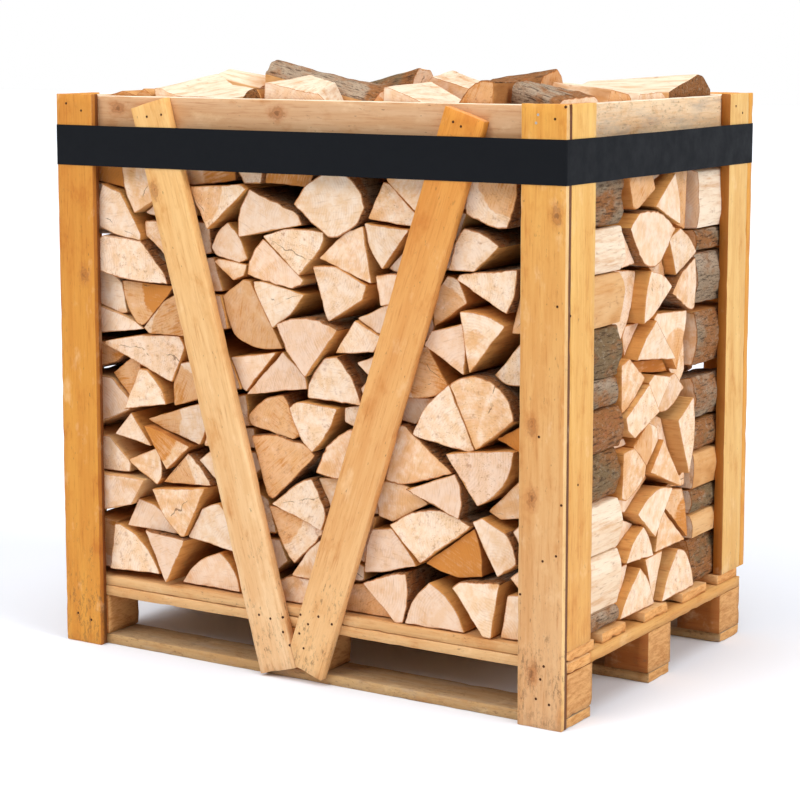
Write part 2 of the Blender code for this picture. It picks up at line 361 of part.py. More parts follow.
def pallet_base():
    """Runners, blocks, stringers, the front filler board and the deck."""
    rows_y = {
        "front": -HALF_Y + RUNNER_W / 2,
        "middle": 0.0,
        "back": HALF_Y - RUNNER_W / 2,
    }
    columns_x = {"left": -HALF_X + BLOCK_X / 2, "middle": 0.0, "right": HALF_X - BLOCK_X / 2}
    for row, y in rows_y.items():
        board(f"runner_{row}", (LENGTH, RUNNER_W, BOARD), (0, y, BOARD / 2))
        block_y = math.copysign(HALF_Y - BLOCK_Y / 2, y) if y else 0.0
        for column, x in columns_x.items():
            centre = (x, block_y, BOARD + BLOCK_H / 2)
            size = (BLOCK_X, BLOCK_Y, BLOCK_H - 2 * GAP)
            board(f"block_{row}_{column}", size, centre, worn=False)
    stringer_z = BOARD + BLOCK_H + BOARD / 2
    board("front_edge_board", (LENGTH, RUNNER_W, BOARD), (0, rows_y["front"], stringer_z))
    start = -HALF_Y + RUNNER_W + GAP
    for column, x in columns_x.items():
        size = (STRINGER_W, HALF_Y - start, BOARD)
        board(f"stringer_{column}", size, (x, (start + HALF_Y) / 2, stringer_z), worn=False)
    for number, (near, width, left, right) in enumerate(DECK_BOARDS, start=1):
        size = (LENGTH - left - right, width, BOARD - GAP)
        centre = ((left - right) / 2, -HALF_Y + near + width / 2, DECK_TOP - (BOARD - GAP) / 2)
        board(f"deck_board_{number}", size, centre)


def corner_posts():
    """Each post is an outer plank on the long face and a plank on the short face, at a right angle."""
    on_deck = DECK_TOP + GAP
    for side_x, along in ((-1, "left"), (1, "right")):
        for side_y, across, foot in ((-1, "front", 0.0), (1, "back", on_deck)):
            x = side_x * (HALF_X - POST_W / 2)
            y = side_y * (HALF_Y + GAP + BOARD / 2)
            tall = HEIGHT - foot
            centre = (x, y, foot + tall / 2)
            board(f"post_{across}_{along}_face", (POST_W, BOARD, tall), centre, PINE)
            x = side_x * (HALF_X - BOARD / 2)
            y = side_y * (HALF_Y - POST_W / 2)
            centre = (x, y, (on_deck + HEIGHT) / 2)
            board(f"post_{across}_{along}_side", (BOARD, POST_W, HEIGHT - on_deck), centre, PINE)


def rails():
    """Top rails inside the posts: long ones on the long faces, short ones between them."""
    z = (RAIL_TOP + RAIL_BOTTOM) / 2
    inner_x = HALF_X - BOARD - GAP
    inner_y = HALF_Y - BOARD - GAP
    for side, name in ((-1, "front"), (1, "back")):
        y = side * (HALF_Y - BOARD / 2)
        board(f"rail_{name}", (2 * inner_x, BOARD, RAIL_H), (0, y, z))
    for side, name in ((-1, "left"), (1, "right")):
        x = side * (inner_x - BOARD / 2)
        board(f"rail_{name}", (BOARD, 2 * inner_y, RAIL_H), (x, 0, z))


def brace_plank(name, ends, side, cut=None):
    """One leaning plank of a V brace, between two (x, z) ends, on the front (-1) or back (1).

    cut is a point and a normal in (x, z): what lies on the normal's side is sawn off.
    """
    top, bottom = Vector(ends[0]), Vector(ends[1])
    run = top - bottom
    lean = math.atan2(run.x, run.y)
    middle = (top + bottom) / 2
    y = side * (HALF_Y + GAP + BOARD / 2)
    plank = board(name, (BRACE_W, BOARD, run.length), (middle.x, y, middle.y), PINE, lean)
    if cut:
        point, normal = cut
        turn = Matrix.Rotation(-lean, 4, "Y")
        local = turn @ Vector((point[0] - middle.x, 0.0, point[1] - middle.y))
        mesh = bmesh.new()
        mesh.from_mesh(plank.data)
        geometry = mesh.verts[:] + mesh.edges[:] + mesh.faces[:]
        across = turn @ Vector((normal[0], 0.0, normal[1]))
        cut_result = bmesh.ops.bisect_plane(mesh, geom=geometry, plane_co=local, plane_no=across,
                                            clear_outer=True)
        rim = [item for item in cut_result["geom_cut"] if isinstance(item, bmesh.types.BMEdge)]
        bmesh.ops.holes_fill(mesh, edges=rim)
        mesh.to_mesh(plank.data)
        mesh.free()
    return plank


def braces():
    """A V brace on each long face: the left plank is whole, the right one is sawn to meet it."""
    for side, name in ((-1, "front"), (1, "back")):
        brace_plank(f"brace_{name}_left", BRACE_LEFT, side)
        top, bottom = Vector(BRACE_LEFT[0]), Vector(BRACE_LEFT[1])
        along = (top - bottom).normalized()
        outward = Vector((along.y, -along.x))
        point = bottom + outward * (BRACE_W / 2 + GAP)
        brace_plank(f"brace_{name}_right", BRACE_RIGHT, side, (point, -outward))


def band():
    """The plastic film band: a thin closed ring round the posts and braces."""
    reach_x = HALF_X + GAP
    reach_y = HALF_Y + BOARD + 2 * GAP
    bpy.ops.mesh.primitive_plane_add(size=1.0)
    obj = bpy.context.object
    mesh = bmesh.new()
    mesh.from_mesh(obj.data)
    bmesh.ops.scale(mesh, verts=mesh.verts, vec=(2 * reach_x, 2 * reach_y, 1.0))
    rim = mesh.edges[:]
    raised = bmesh.ops.extrude_edge_only(mesh, edges=rim)
    upper = [item for item in raised["geom"] if isinstance(item, bmesh.types.BMVert)]
    bmesh.ops.translate(mesh, verts=upper, vec=(0, 0, BAND_H))
    floor = [face for face in mesh.faces if abs(face.normal.z) > 0.5]
    bmesh.ops.delete(mesh, geom=floor, context="FACES_ONLY")
    bmesh.ops.recalc_face_normals(mesh, faces=mesh.faces[:])
    mesh.to_mesh(obj.data)
    mesh.free()
    obj.location = (0, 0, BAND_TOP - BAND_H)
    film = obj.modifiers.new("film", "SOLIDIFY")
    film.thickness = BAND_T
    film.offset = 1.0
    film.use_even_offset = True
    return adopt(obj, "band", material("band", BAND_FILM, 0.4))


# ---- log profiles: lists of 2D points, counter-clockwise ----
def hull(points):
    """Convex hull of 2D points, counter-clockwise."""
    ordered = sorted({(round(x, 6), round(z, 6)) for x, z in points})

    def half(sequence):
        chain = []
        for point in sequence:
            while len(chain) > 1 and turn(chain[-2], chain[-1], point) <= 1e-9:
                chain.pop()
            chain.append(point)
        return chain[:-1]

    return half(ordered) + half(reversed(ordered))


def turn(a, b, c):
    """Twice the signed area of the triangle a, b, c."""
    return (b[0] - a[0]) * (c[1] - a[1]) - (b[1] - a[1]) * (c[0] - a[0])


def profile(corners):
    """A log's outline in metres, with its barked sides drawn as arcs."""
    points = []
    for index, corner in enumerate(corners):
        start = Vector(corner[:2]) * CM
        end = Vector(corners[(index + 1) % len(corners)][:2]) * CM
        points.append(tuple(start))
        crown = corner[2] / 100 if len(corner) > 2 else 0.0
        if not crown:
            continue
        chord = end - start
        outward = Vector((chord.y, -chord.x))
        if crown < FLAT_CROWN:
            steps = 2
        elif crown < ROUND_CROWN:
            steps = 3
        else:
            steps = 6
        half_angle = 2 * math.atan(2 * crown)
        for step in range(1, steps):
            angle = half_angle * (2 * step / steps - 1)
            along = 0.5 + math.sin(angle) / (2 * math.sin(half_angle))
            rise = (math.cos(angle) - math.cos(half_angle)) / (2 * math.sin(half_angle))
            points.append(tuple(start + chord * along + outward * rise))
    return hull(points)


def clip(outline, normal, limit):
    """The part of a convex outline where point . normal is at most limit."""
    kept = []
    for index, here in enumerate(outline):
        before = outline[index - 1]
        inside = here[0] * normal[0] + here[1] * normal[1] - limit
        outside = before[0] * normal[0] + before[1] * normal[1] - limit
        if (inside <= 0) != (outside <= 0):
            share = outside / (outside - inside)
            kept.append(tuple(before[axis] + share * (here[axis] - before[axis]) for axis in (0, 1)))
        if inside <= 0:
            kept.append(here)
    return kept


def settle(first, second):
    """Trim two convex outlines on the line that parts them best, so that air is left between."""
    best = None
    for outline in (first, second):
        for index, here in enumerate(outline):
            before = outline[index - 1]
            edge = Vector((here[0] - before[0], here[1] - before[1]))
            if edge.length < 1e-6:
                continue
            normal = Vector((edge.y, -edge.x)).normalized()
            if outline is second:
                normal = -normal
            high = max(point[0] * normal.x + point[1] * normal.y for point in first)
            low = min(point[0] * normal.x + point[1] * normal.y for point in second)
            overlap = high - low
            if best is None or overlap < best[0]:
                best = (overlap, normal, (high + low) / 2)
    overlap, normal, middle = best
    if overlap <= -LOG_GAP:
        return first, second
    first = clip(first, normal, middle - LOG_GAP / 2)
    second = clip(second, -normal, -(middle + LOG_GAP / 2))
    return first, second


def settled_plan(plan, shift, low, high):
    """Read a plan into (setback, outline) pairs that don't overlap.

    Outlines are moved across by shift and kept between low and high.
    """
    logs = []
    for setback, *corners in plan:
        moved = [(x + shift, z) for x, z in profile(corners)]
        moved = clip(clip(moved, (1.0, 0.0), high), (-1.0, 0.0), -low)
        logs.append([setback * CM, moved])
    for index, log in enumerate(logs):
        for other in logs[index + 1:]:
            if len(log[1]) > 2 and len(other[1]) > 2:
                log[1], other[1] = settle(log[1], other[1])
    return [(setback, outline) for setback, outline in logs if len(outline) > 2]


def add_prism(mesh, outline, place_start, place_end):
    """Add a closed prism to a bmesh: the outline placed at both ends."""
    start = [mesh.verts.new(place_start(*point)) for point in outline]
    end = [mesh.verts.new(place_end(*point)) for point in outline]
    mesh.faces.new(start)
    mesh.faces.new(reversed(end))
    for index in range(len(outline)):
        mesh.faces.new((start[index - 1], start[index], end[index], end[index - 1]))


def stack_row(name, core_low, core_high, logs):
    """A row of logs as one closed body: a core with every log's end standing out of it.

    logs lists (outline, start, end): start and end place an outline point (across, height).
    """
    bpy.ops.mesh.primitive_cube_add(size=1.0)
    row = bpy.context.object
    size = [high - low for low, high in zip(core_low, core_high)]
    row.data.transform(Matrix.Diagonal((*size, 1.0)))
    row.data.transform(Matrix.Translation([(a + b) / 2 for a, b in zip(core_low, core_high)]))
    adopt(row, name, material(name, BEECH, 0.8))
    mesh = bmesh.new()
    for outline, start, end in logs:
        add_prism(mesh, outline, start, end)
    bmesh.ops.recalc_face_normals(mesh, faces=mesh.faces[:])
    data = bpy.data.meshes.new(f"{name}_logs")
    mesh.to_mesh(data)
    mesh.free()
    ends = bpy.data.objects.new(f"{name}_logs", data)
    collection("cutters").objects.link(ends)
    ends.hide_render = True
    ends.display_type = "WIRE"
    union = row.modifiers.new("log_ends", "BOOLEAN")
    union.operation = "UNION"
    union.solver = "EXACT"
    union.object = ends
    return row


def top_course(width, count):
    """Flat-topped logs side by side, filling a row up to the height where the loose logs lie."""
    low, high = (height - PLAN_DROP for height in TOP_COURSE)
    step = width / count
    for number in range(count):
        left = -width / 2 + number * step + LOG_GAP / 2
        right = left + step - LOG_GAP
        lean = step * (0.16 if number % 2 else 0.06)
        outline = [(left + lean, low), (right - step * 0.1, low), (right, high), (left, high)]
        yield outline


def long_rows():
    """The front and back rows, whose logs lie along Y."""
    lift = -PLAN_DROP
    rows = (
        ("logs_front_row", LONG_ROW + FRONT_COLUMN, -ROW_FRONT, FRONT_ROW_BACK),
        ("logs_back_row", LONG_ROW + BACK_COLUMN, ROW_FRONT, BACK_ROW_FRONT),
    )
    for name, plan, face, inner in rows:
        outward = math.copysign(1.0, face)
        core_face = face - outward * END_RELIEF
        buried = inner + outward * CORE_INSET
        logs = []
        for setback, outline in settled_plan(plan, -HALF_X, -ROW_REACH, ROW_REACH):
            end = face - outward * setback
            logs.append((outline, along_y(end, lift), along_y(buried, lift)))
        behind_rail = outward * (HALF_Y - BOARD - 0.002)
        for outline in top_course(2 * (CORE_X - 0.004), 9):
            logs.append((outline, along_y(behind_rail, 0.0), along_y(buried, 0.0)))
        low, high = sorted((core_face, inner))
        stack_row(name, (-CORE_X, low, DECK_TOP + CORE_INSET), (CORE_X, high, CORE_TOP), logs)


def along_y(y, lift):
    """Place an outline point on a plane across Y."""
    return lambda across, height: (across, y, height + lift)


def along_x(x, lift):
    """Place an outline point on a plane across X."""
    return lambda across, height: (x, across, height + lift)


def middle_row():
    """The middle row, whose logs lie along X, with log ends on both short faces."""
    lift = -PLAN_DROP
    logs = []
    for side in (-1, 1):
        core_face = side * (CORE_X - CORE_INSET)
        for setback, outline in settled_plan(CROSS_ROW, -HALF_Y, *MIDDLE_ROW):
            end = side * (MIDDLE_END - setback)
            logs.append((outline, along_x(end, lift), along_x(core_face - side * CORE_INSET, lift)))
    middle = sum(MIDDLE_ROW) / 2
    width = MIDDLE_ROW[1] - MIDDLE_ROW[0] - 0.008
    reach = CORE_X + CORE_INSET
    for outline in top_course(width, 3):
        shifted = [(y + middle, z) for y, z in outline]
        logs.append((shifted, along_x(-reach, 0.0), along_x(reach, 0.0)))
    low, high = MIDDLE_ROW
    core_x = CORE_X - CORE_INSET
    stack_row("logs_middle_row", (-core_x, low, DECK_TOP + CORE_INSET), (core_x, high, CORE_TOP), logs)


def loose_logs():
    """Loose split logs lying on top of the stack."""
    rest = TOP_COURSE[1] - PLAN_DROP + GAP
    for number, (axis, reach, ends, factors, corners) in enumerate(LOOSE_LOGS, start=1):
        near = [(across * CM, height * CM) for across, height in corners]
        left = min(across for across, _ in near)
        width = max(across for across, _ in near) - left
        far = []
        for across, height in near:
            share = (across - left) / width
            factor = factors[0] + (factors[1] - factors[0]) * share
            far.append(((ends[0] + (ends[1] - ends[0]) * share) * CM, height * factor))
        place = along_y if axis == "Y" else along_x
        mesh = bmesh.new()
        rings = []
        for outline, level in ((near, reach[0]), (far, reach[1])):
            put = place(level, rest)
            rings.append([mesh.verts.new(put(across, height)) for across, height in outline])
        for index in range(len(near)):
            after = (index + 1) % len(near)
            mesh.faces.new((rings[0][index], rings[0][after], rings[1][after], rings[1][index]))
        mesh.faces.new(rings[0][::-1])
        mesh.faces.new(rings[1])
        bmesh.ops.recalc_face_normals(mesh, faces=mesh.faces[:])
        name = f"loose_log_{number:02d}"
        data = bpy.data.meshes.new(name)
        mesh.to_mesh(data)
        mesh.free()
        obj = bpy.data.objects.new(name, data)
        bpy.context.scene.collection.objects.link(obj)
        adopt(obj, name, material(name, BEECH, 0.8))


for existing in list(bpy.data.objects):
    bpy.data.objects.remove(existing, do_unlink=True)
pallet_base()
corner_posts()
rails()
braces()
band()
long_rows()
middle_row()
loose_logs()
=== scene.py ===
"""Looks of a pallet crate of split firewood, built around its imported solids.

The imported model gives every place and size. Each board is a finely cut copy of its solid with worn
arrises, saw marks and knots. Each stacked row is rebuilt log by log on the log ends of its solid,
with sawn ends, riven faces and bark. Metres, +Z up, the crate's front at -Y.
"""
from __future__ import annotations

import json
import logging
import math
from dataclasses import dataclass, field
from enum import Enum
from typing import Any, Callable, ClassVar, Iterable

import bmesh
import bpy
import numpy as np
from mathutils import Matrix, Vector, noise

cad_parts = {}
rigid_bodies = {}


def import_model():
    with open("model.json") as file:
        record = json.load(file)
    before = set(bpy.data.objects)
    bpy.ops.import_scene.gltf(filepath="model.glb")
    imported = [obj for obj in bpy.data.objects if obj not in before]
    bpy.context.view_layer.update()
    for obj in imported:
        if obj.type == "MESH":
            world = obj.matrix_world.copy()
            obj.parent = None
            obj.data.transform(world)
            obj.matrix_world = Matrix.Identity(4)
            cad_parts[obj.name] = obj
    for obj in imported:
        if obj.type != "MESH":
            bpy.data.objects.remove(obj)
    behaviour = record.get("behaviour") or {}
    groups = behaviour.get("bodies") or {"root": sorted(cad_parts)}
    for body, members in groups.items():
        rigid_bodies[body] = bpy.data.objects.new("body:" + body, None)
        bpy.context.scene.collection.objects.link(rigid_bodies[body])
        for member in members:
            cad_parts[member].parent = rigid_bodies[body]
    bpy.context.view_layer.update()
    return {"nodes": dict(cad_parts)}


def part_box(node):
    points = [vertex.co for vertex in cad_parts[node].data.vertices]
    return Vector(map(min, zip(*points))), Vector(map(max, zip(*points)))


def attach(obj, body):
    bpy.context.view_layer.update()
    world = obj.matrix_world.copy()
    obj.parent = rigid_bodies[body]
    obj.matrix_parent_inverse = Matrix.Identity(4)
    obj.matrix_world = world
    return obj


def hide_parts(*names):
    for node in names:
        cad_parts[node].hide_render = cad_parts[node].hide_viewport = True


LOG = logging.getLogger("firewood")
MM = 0.001
CM = 0.01
BODY = "root"
TINY = 1e-9
FLAT_MM = 1e6  # A bump size so long that the pattern doesn't change that way.
LOG_SHARP_DEG = 38.0
WOOD_SPECULAR = 0.3
# Narrow sides of the rails, pale as a painted highlight along their top edges.
PAINTED_HIGHLIGHT_SIDES = ("#FFF0DA", "#FFF0DA")

Nodes = dict[str, bpy.types.Object]
Socket = bpy.types.NodeSocket
Triple = tuple[float, float, float]
Places = tuple[tuple[float, float], ...]
Spots = list[tuple[Vector, Vector]]
Axes = tuple[Vector, Vector, Vector]
Faces = list[tuple[int, ...]]
Warp = Callable[[np.ndarray], np.ndarray]


# ---------------------------------------------------------------- colour and nodes
def linear(code: str) -> tuple[float, float, float, float]:
    """Turns an sRGB hex code into a linear colour.

    Args:
        code: six hex digits, with or without a leading hash.

    Returns:
        Red, green, blue and an alpha of 1.
    """
    digits = code.lstrip("#")
    values = [int(digits[start:start + 2], 16) / 255 for start in (0, 2, 4)]
    curve = [v / 12.92 if v <= 0.04045 else ((v + 0.055) / 1.055) ** 2.4 for v in values]
    return (*curve, 1.0)


def add_node(
    tree: bpy.types.NodeTree,
    kind: str,
    settings: dict[str, Any] | None = None,
    inputs: dict[Any, Any] | None = None,
) -> bpy.types.Node:
    """Adds a node, sets it up and links it.

    Args:
        tree: the material's node tree.
        kind: the node's type, without its ShaderNode prefix.
        settings: the node's own properties; "stops" is a colour ramp's list of (place, colour).
        inputs: value or linked socket for each input, by name or number.

    Returns:
        The new node.
    """
    node = tree.nodes.new("ShaderNode" + kind)
    for name, value in (settings or {}).items():
        if name != "stops":
            setattr(node, name, value)
            continue
        ramp = node.color_ramp
        while len(ramp.elements) < len(value):
            ramp.elements.new(1.0)
        for element, (place, colour) in zip(ramp.elements, value):
            element.position = place
            element.color = colour
    for key, value in (inputs or {}).items():
        socket = node.inputs[key]
        if isinstance(value, bpy.types.NodeSocket):
            tree.links.new(value, socket)
        else:
            socket.default_value = value
    return node


def per_mm(*sizes: float) -> tuple[float, ...]:
    """Pattern scales that give features of these sizes in millimetres."""
    return tuple(1.0 / (size * MM) for size in sizes)


class Wood:
    """A wood finish in the making: its coordinates, its tones and the colour laid so far."""

    def __init__(self, name: str, base: str = "#FFFFFF") -> None:
        """Starts the material.

        Args:
            name: the material's name.
            base: the colour that the stains go over.
        """
        self.material = bpy.data.materials.new(name)
        self.material.use_nodes = True
        self.tree = self.material.node_tree
        self.grain = self.read("grain", "Vector")
        self.tone = self.read("tone", "Color")
        parts = self.node("SeparateColor", inputs={0: self.tone})
        self.warmth, self.light, self.pink = parts.outputs
        self.seed = self.math("MULTIPLY", self.read("tone", "Alpha"), 97.0)
        self.colour: Any = linear(base)

    def node(self, kind: str, settings: dict[str, Any] | None = None,
             inputs: dict[Any, Any] | None = None) -> bpy.types.Node:
        """Adds a node to this material."""
        return add_node(self.tree, kind, settings, inputs)

    def read(self, attribute: str, output: str = "Fac") -> Socket:
        """What the mesh stores under this name."""
        return self.node("Attribute", {"attribute_name": attribute}).outputs[output]

    def math(self, operation: str, *values: Any) -> Socket:
        """The result of a maths node on up to three values."""
        return self.node("Math", {"operation": operation}, dict(enumerate(values))).outputs[0]

    def vector(self, operation: str, *values: Any) -> Socket:
        """The result of a vector maths node: a length is its value, the others are vectors."""
        outputs = self.node("VectorMath", {"operation": operation}, dict(enumerate(values))).outputs
        return outputs["Value" if operation == "LENGTH" else "Vector"]

    def lot(self, factor: float) -> Socket:
        """A number from 0 to 1 that is drawn anew for each log or board."""
        return self.math("FRACT", self.math("MULTIPLY", self.seed, factor))

    def noise(self, sizes_mm: Triple, detail: float = 2.0,
              roughness: float = 0.5) -> Socket:
        """Noise in the wood's own coordinates.

        Args:
            sizes_mm: feature size along each of the three wood coordinates.
            detail: octaves of finer noise.
            roughness: how strong the finer octaves are.

        Returns:
            The noise value, about 0.5 on average.
        """
        inputs = {"Vector": self.vector("MULTIPLY", self.grain, per_mm(*sizes_mm)), "W": self.seed,
                  "Scale": 1.0, "Detail": detail, "Roughness": roughness}
        return self.node("TexNoise", {"noise_dimensions": "4D"}, inputs).outputs[0]

    def step(self, value: Any, low: float, high: float, top: float = 1.0) -> Socket:
        """A smooth step from 0 at low to top at high."""
        inputs = {"Value": value, "From Min": low, "From Max": high, "To Min": 0.0, "To Max": top}
        return self.node("MapRange", {"interpolation_type": "SMOOTHSTEP"}, inputs).outputs[0]

    def mix(self, share: Any, over: Any, blend: str = "MIX") -> None:
        """Lays a linear colour over the colour so far."""
        settings = {"data_type": "RGBA", "blend_type": blend}
        self.colour = self.node("Mix", settings, {0: share, 6: self.colour, 7: over}).outputs[2]

    def stain(self, code: str, value: Any, low: float, high: float, top: float = 1.0,
              gate: Any = None, blend: str = "MIX") -> None:
        """Lays a colour over the colour so far where a value is high enough.

        Args:
            code: the stain's sRGB colour.
            value: the pattern that it follows.
            low: where the stain starts.
            high: where it is at its strongest.
            top: its strongest share.
            gate: a second share that it is multiplied by, where it is given.
            blend: how it meets the colour under it.
        """
        share = self.step(value, low, high, top)
        self.mix(share if gate is None else self.math("MULTIPLY", share, gate), linear(code), blend)

    def finish(self, roughness: float, *bumps: tuple[Any, float, float]) -> bpy.types.Material:
        """Feeds the shader.

        Args:
            roughness: how matt the wood is.
            bumps: the height, depth in millimetres and strength of each bump, one over the other.

        Returns:
            The material.
        """
        normal = None
        for height, depth_mm, strength in bumps:
            inputs = {"Height": height, "Distance": depth_mm * MM, "Strength": strength}
            if normal is not None:
                inputs["Normal"] = normal
            normal = self.node("Bump", inputs=inputs).outputs[0]
        shader = self.tree.nodes["Principled BSDF"]
        self.tree.links.new(self.colour, shader.inputs["Base Color"])
        self.tree.links.new(normal, shader.inputs["Normal"])
        shader.inputs["Roughness"].default_value = roughness
        shader.inputs["Specular IOR Level"].default_value = WOOD_SPECULAR
        return self.material


# ---------------------------------------------------------------- finishes
@dataclass(frozen=True)
class SawnEndGrain:
    """Beech cross-cut by chainsaw: matt and pale, with faint rings, saw lines, stains, flecks."""

    pale: str = "#F5DCC2"
    cream: str = "#EBC499"
    tan: str = "#DD9E5A"
    heart: str = "#C97C28"
    stain: str = "#9C5A26"
    pink: str = "#E8BDA0"
    check: str = "#6B4426"
    inner_bark: str = "#B46A2A"
    bark_line: str = "#5E3D22"
    ring_mm: float = 5.5
    patch_mm: float = 30.0
    blot_mm: float = 13.0
    fleck_mm: float = 4.0
    kerf_mm: float = 4.5
    pith_mm: float = 55.0
    sapwood_mm: float = 95.0

    def build(self, name: str) -> bpy.types.Material:
        """Makes the material, named as given."""
        wood = Wood(name, self.pale)
        reach = wood.vector("LENGTH", wood.vector("MULTIPLY", wood.grain, (1.0, 1.0, 0.0)))
        cloud = wood.noise((21.0, 25.0, 60.0), 4.0, 0.65)
        kerfs = self.kerfs(wood)
        wood.stain(self.cream, cloud, 0.36, 0.64, 0.9)
        wood.mix(wood.math("MULTIPLY", wood.pink, 0.6), linear(self.pink))
        # Red heart: the wood is warmer near the pith, and in some logs all over.
        near = wood.step(reach, self.pith_mm * MM, 0.0, 0.16)
        patches = wood.noise((self.patch_mm,) * 3, 4.0, 0.62)
        heart = wood.math("ADD", wood.math("MULTIPLY_ADD", wood.warmth, 0.95, near), patches)
        # A crisp edge between red heart and pale sapwood, again in some logs only.
        ragged = wood.math("MULTIPLY_ADD", cloud, 30 * MM, reach)
        edge = wood.step(ragged, self.sapwood_mm * MM, (self.sapwood_mm + 7) * MM, 0.42)
        split = wood.math("GREATER_THAN", wood.lot(5.3), 0.5)
        heart = wood.math("SUBTRACT", heart, wood.math("MULTIPLY", edge, split))
        wood.stain(self.tan, heart, 0.58, 0.92, 0.70)
        streaks = wood.math("MULTIPLY_ADD", kerfs, -1.1, 0.55)
        wood.stain(self.heart, wood.math("ADD", heart, streaks), 0.92, 1.36, 0.90)
        blot = wood.noise((self.blot_mm, self.blot_mm, 50.0), 4.0, 0.65)
        worn = wood.step(wood.lot(3.7), 0.25, 0.80)
        wood.stain(self.stain, blot, 0.52, 0.80, 0.80, worn)
        self.rings(wood, reach)
        flecks = wood.noise((self.fleck_mm, self.fleck_mm * 0.6, 9.0), 2.0, 0.6)
        zone = wood.step(wood.noise((24.0, 24.0, 60.0), 1.0), 0.40, 0.60)
        wood.stain(self.stain, flecks, 0.57, 0.72, 0.70, wood.math("MULTIPLY", zone, worn))
        wood.stain(self.stain, kerfs, 0.53, 0.80, 0.36)
        self.checks(wood)
        torn = wood.math("ADD", wood.read("rim"), wood.math("MULTIPLY", flecks, 0.5))
        wood.stain(self.inner_bark, torn, 0.50, 0.95, 0.85)
        wood.stain(self.bark_line, torn, 1.08, 1.24, 0.85)
        shade = wood.math("MULTIPLY_ADD", wood.light, 0.16, 0.88)
        wood.mix(1.0, wood.node("CombineColor", inputs=dict.fromkeys(range(3), shade)).outputs[0],
                 "MULTIPLY")
        return wood.finish(0.82, (kerfs, 0.9, 0.40), (blot, 2.5, 0.35))

    def rings(self, wood: Wood, reach: Any) -> None:
        """Stains growth rings, circles round the origin of the wood's coordinates, faint in places.

        Args:
            wood: the finish in the making.
            reach: distance from the pith.
        """
        bend = wood.math("MULTIPLY", wood.noise((26.0, 26.0, 80.0), 3.0), 11.0)
        turns = wood.math("MULTIPLY_ADD", reach, 2 * math.pi / (self.ring_mm * MM), bend)
        wave = wood.math("MULTIPLY", wood.math("ADD", wood.math("SINE", turns), 1.0), 0.06)
        shown = wood.step(wood.noise((38.0, 38.0, 80.0), 1.0), 0.42, 0.62)
        wood.mix(wood.math("MULTIPLY", wave, shown), linear(self.stain))

    def kerfs(self, wood: Wood) -> Socket:
        """Saw lines, turned to a new angle on every log. Drawn coarser than real kerfs, to show.

        Args:
            wood: the finish in the making.

        Returns:
            Their height, about 0.5 on average.
        """
        turned = wood.node("VectorRotate", {"rotation_type": "Z_AXIS"},
                           {"Vector": wood.grain, "Angle": wood.seed}).outputs[0]
        stretched = wood.vector("MULTIPLY", turned, per_mm(45.0, self.kerf_mm, 60.0))
        return wood.node("TexNoise", inputs={"Vector": stretched, "Scale": 1.0, "Detail": 3.0,
                                             "Roughness": 0.6}).outputs[0]

    def checks(self, wood: Wood) -> None:
        """Stains drying checks: hairline cracks that run out from the pith, on some of the logs.

        Args:
            wood: the finish in the making.
        """
        split = wood.node("SeparateXYZ", inputs={0: wood.grain}).outputs
        angle = wood.math("ARCTAN2", split[1], split[0])
        stray = wood.math("MULTIPLY", wood.noise((30.0, 30.0, 80.0), 3.0), 1.1)
        fan = wood.math("ADD", wood.math("MULTIPLY_ADD", angle, 2.2, stray), wood.seed)
        line = wood.math("ABSOLUTE", wood.math("SINE", fan))
        broken = wood.step(wood.noise((45.0, 45.0, 90.0), 2.0), 0.47, 0.53)
        dry = wood.math("GREATER_THAN", wood.lot(7.3), 0.82)
        wood.stain(self.check, line, 0.045, 0.012, 0.7, wood.math("MULTIPLY", broken, dry))


@dataclass(frozen=True)
class RivenFace:
    """Beech split along its fibres: long torn streaks, from cream to orange brown."""

    cream: str = "#F0DCC2"
    pale: str = "#DEB07A"
    mid: str = "#CB8C4A"
    dark: str = "#93531F"
    fibre_mm: float = 3.2
    streak_mm: float = 13.0

    def build(self, name: str) -> bpy.types.Material:
        """Makes the material, named as given."""
        wood = Wood(name, self.pale)
        streak = wood.noise((self.streak_mm, self.streak_mm, 110.0), 4.0, 0.65)
        fibre = wood.noise((self.fibre_mm, self.fibre_mm, 34.0), 3.0, 0.65)
        torn = wood.noise((17.0, 17.0, 26.0), 4.0, 0.65)
        warm = wood.math("MULTIPLY_ADD", wood.warmth, 0.60, wood.noise((40.0, 40.0, 80.0), 3.0))
        # Cream where the light tone is high: partly a log's own paler wood, partly painted top light
        # on the upper faces of whole logs.
        wood.stain(self.cream, wood.light, 0.88, 1.0)
        wood.stain(self.mid, streak, 0.42, 0.74, 0.75)
        wood.stain(self.mid, warm, 0.55, 0.95, 0.80)
        wood.stain(self.dark, warm, 0.80, 1.10, 0.50)
        wood.stain(self.dark, torn, 0.58, 0.74, 0.50)
        wood.stain(self.dark, fibre, 0.54, 0.78, 0.55)
        return wood.finish(0.8, (streak, 3.0, 0.5), (fibre, 1.2, 0.6))


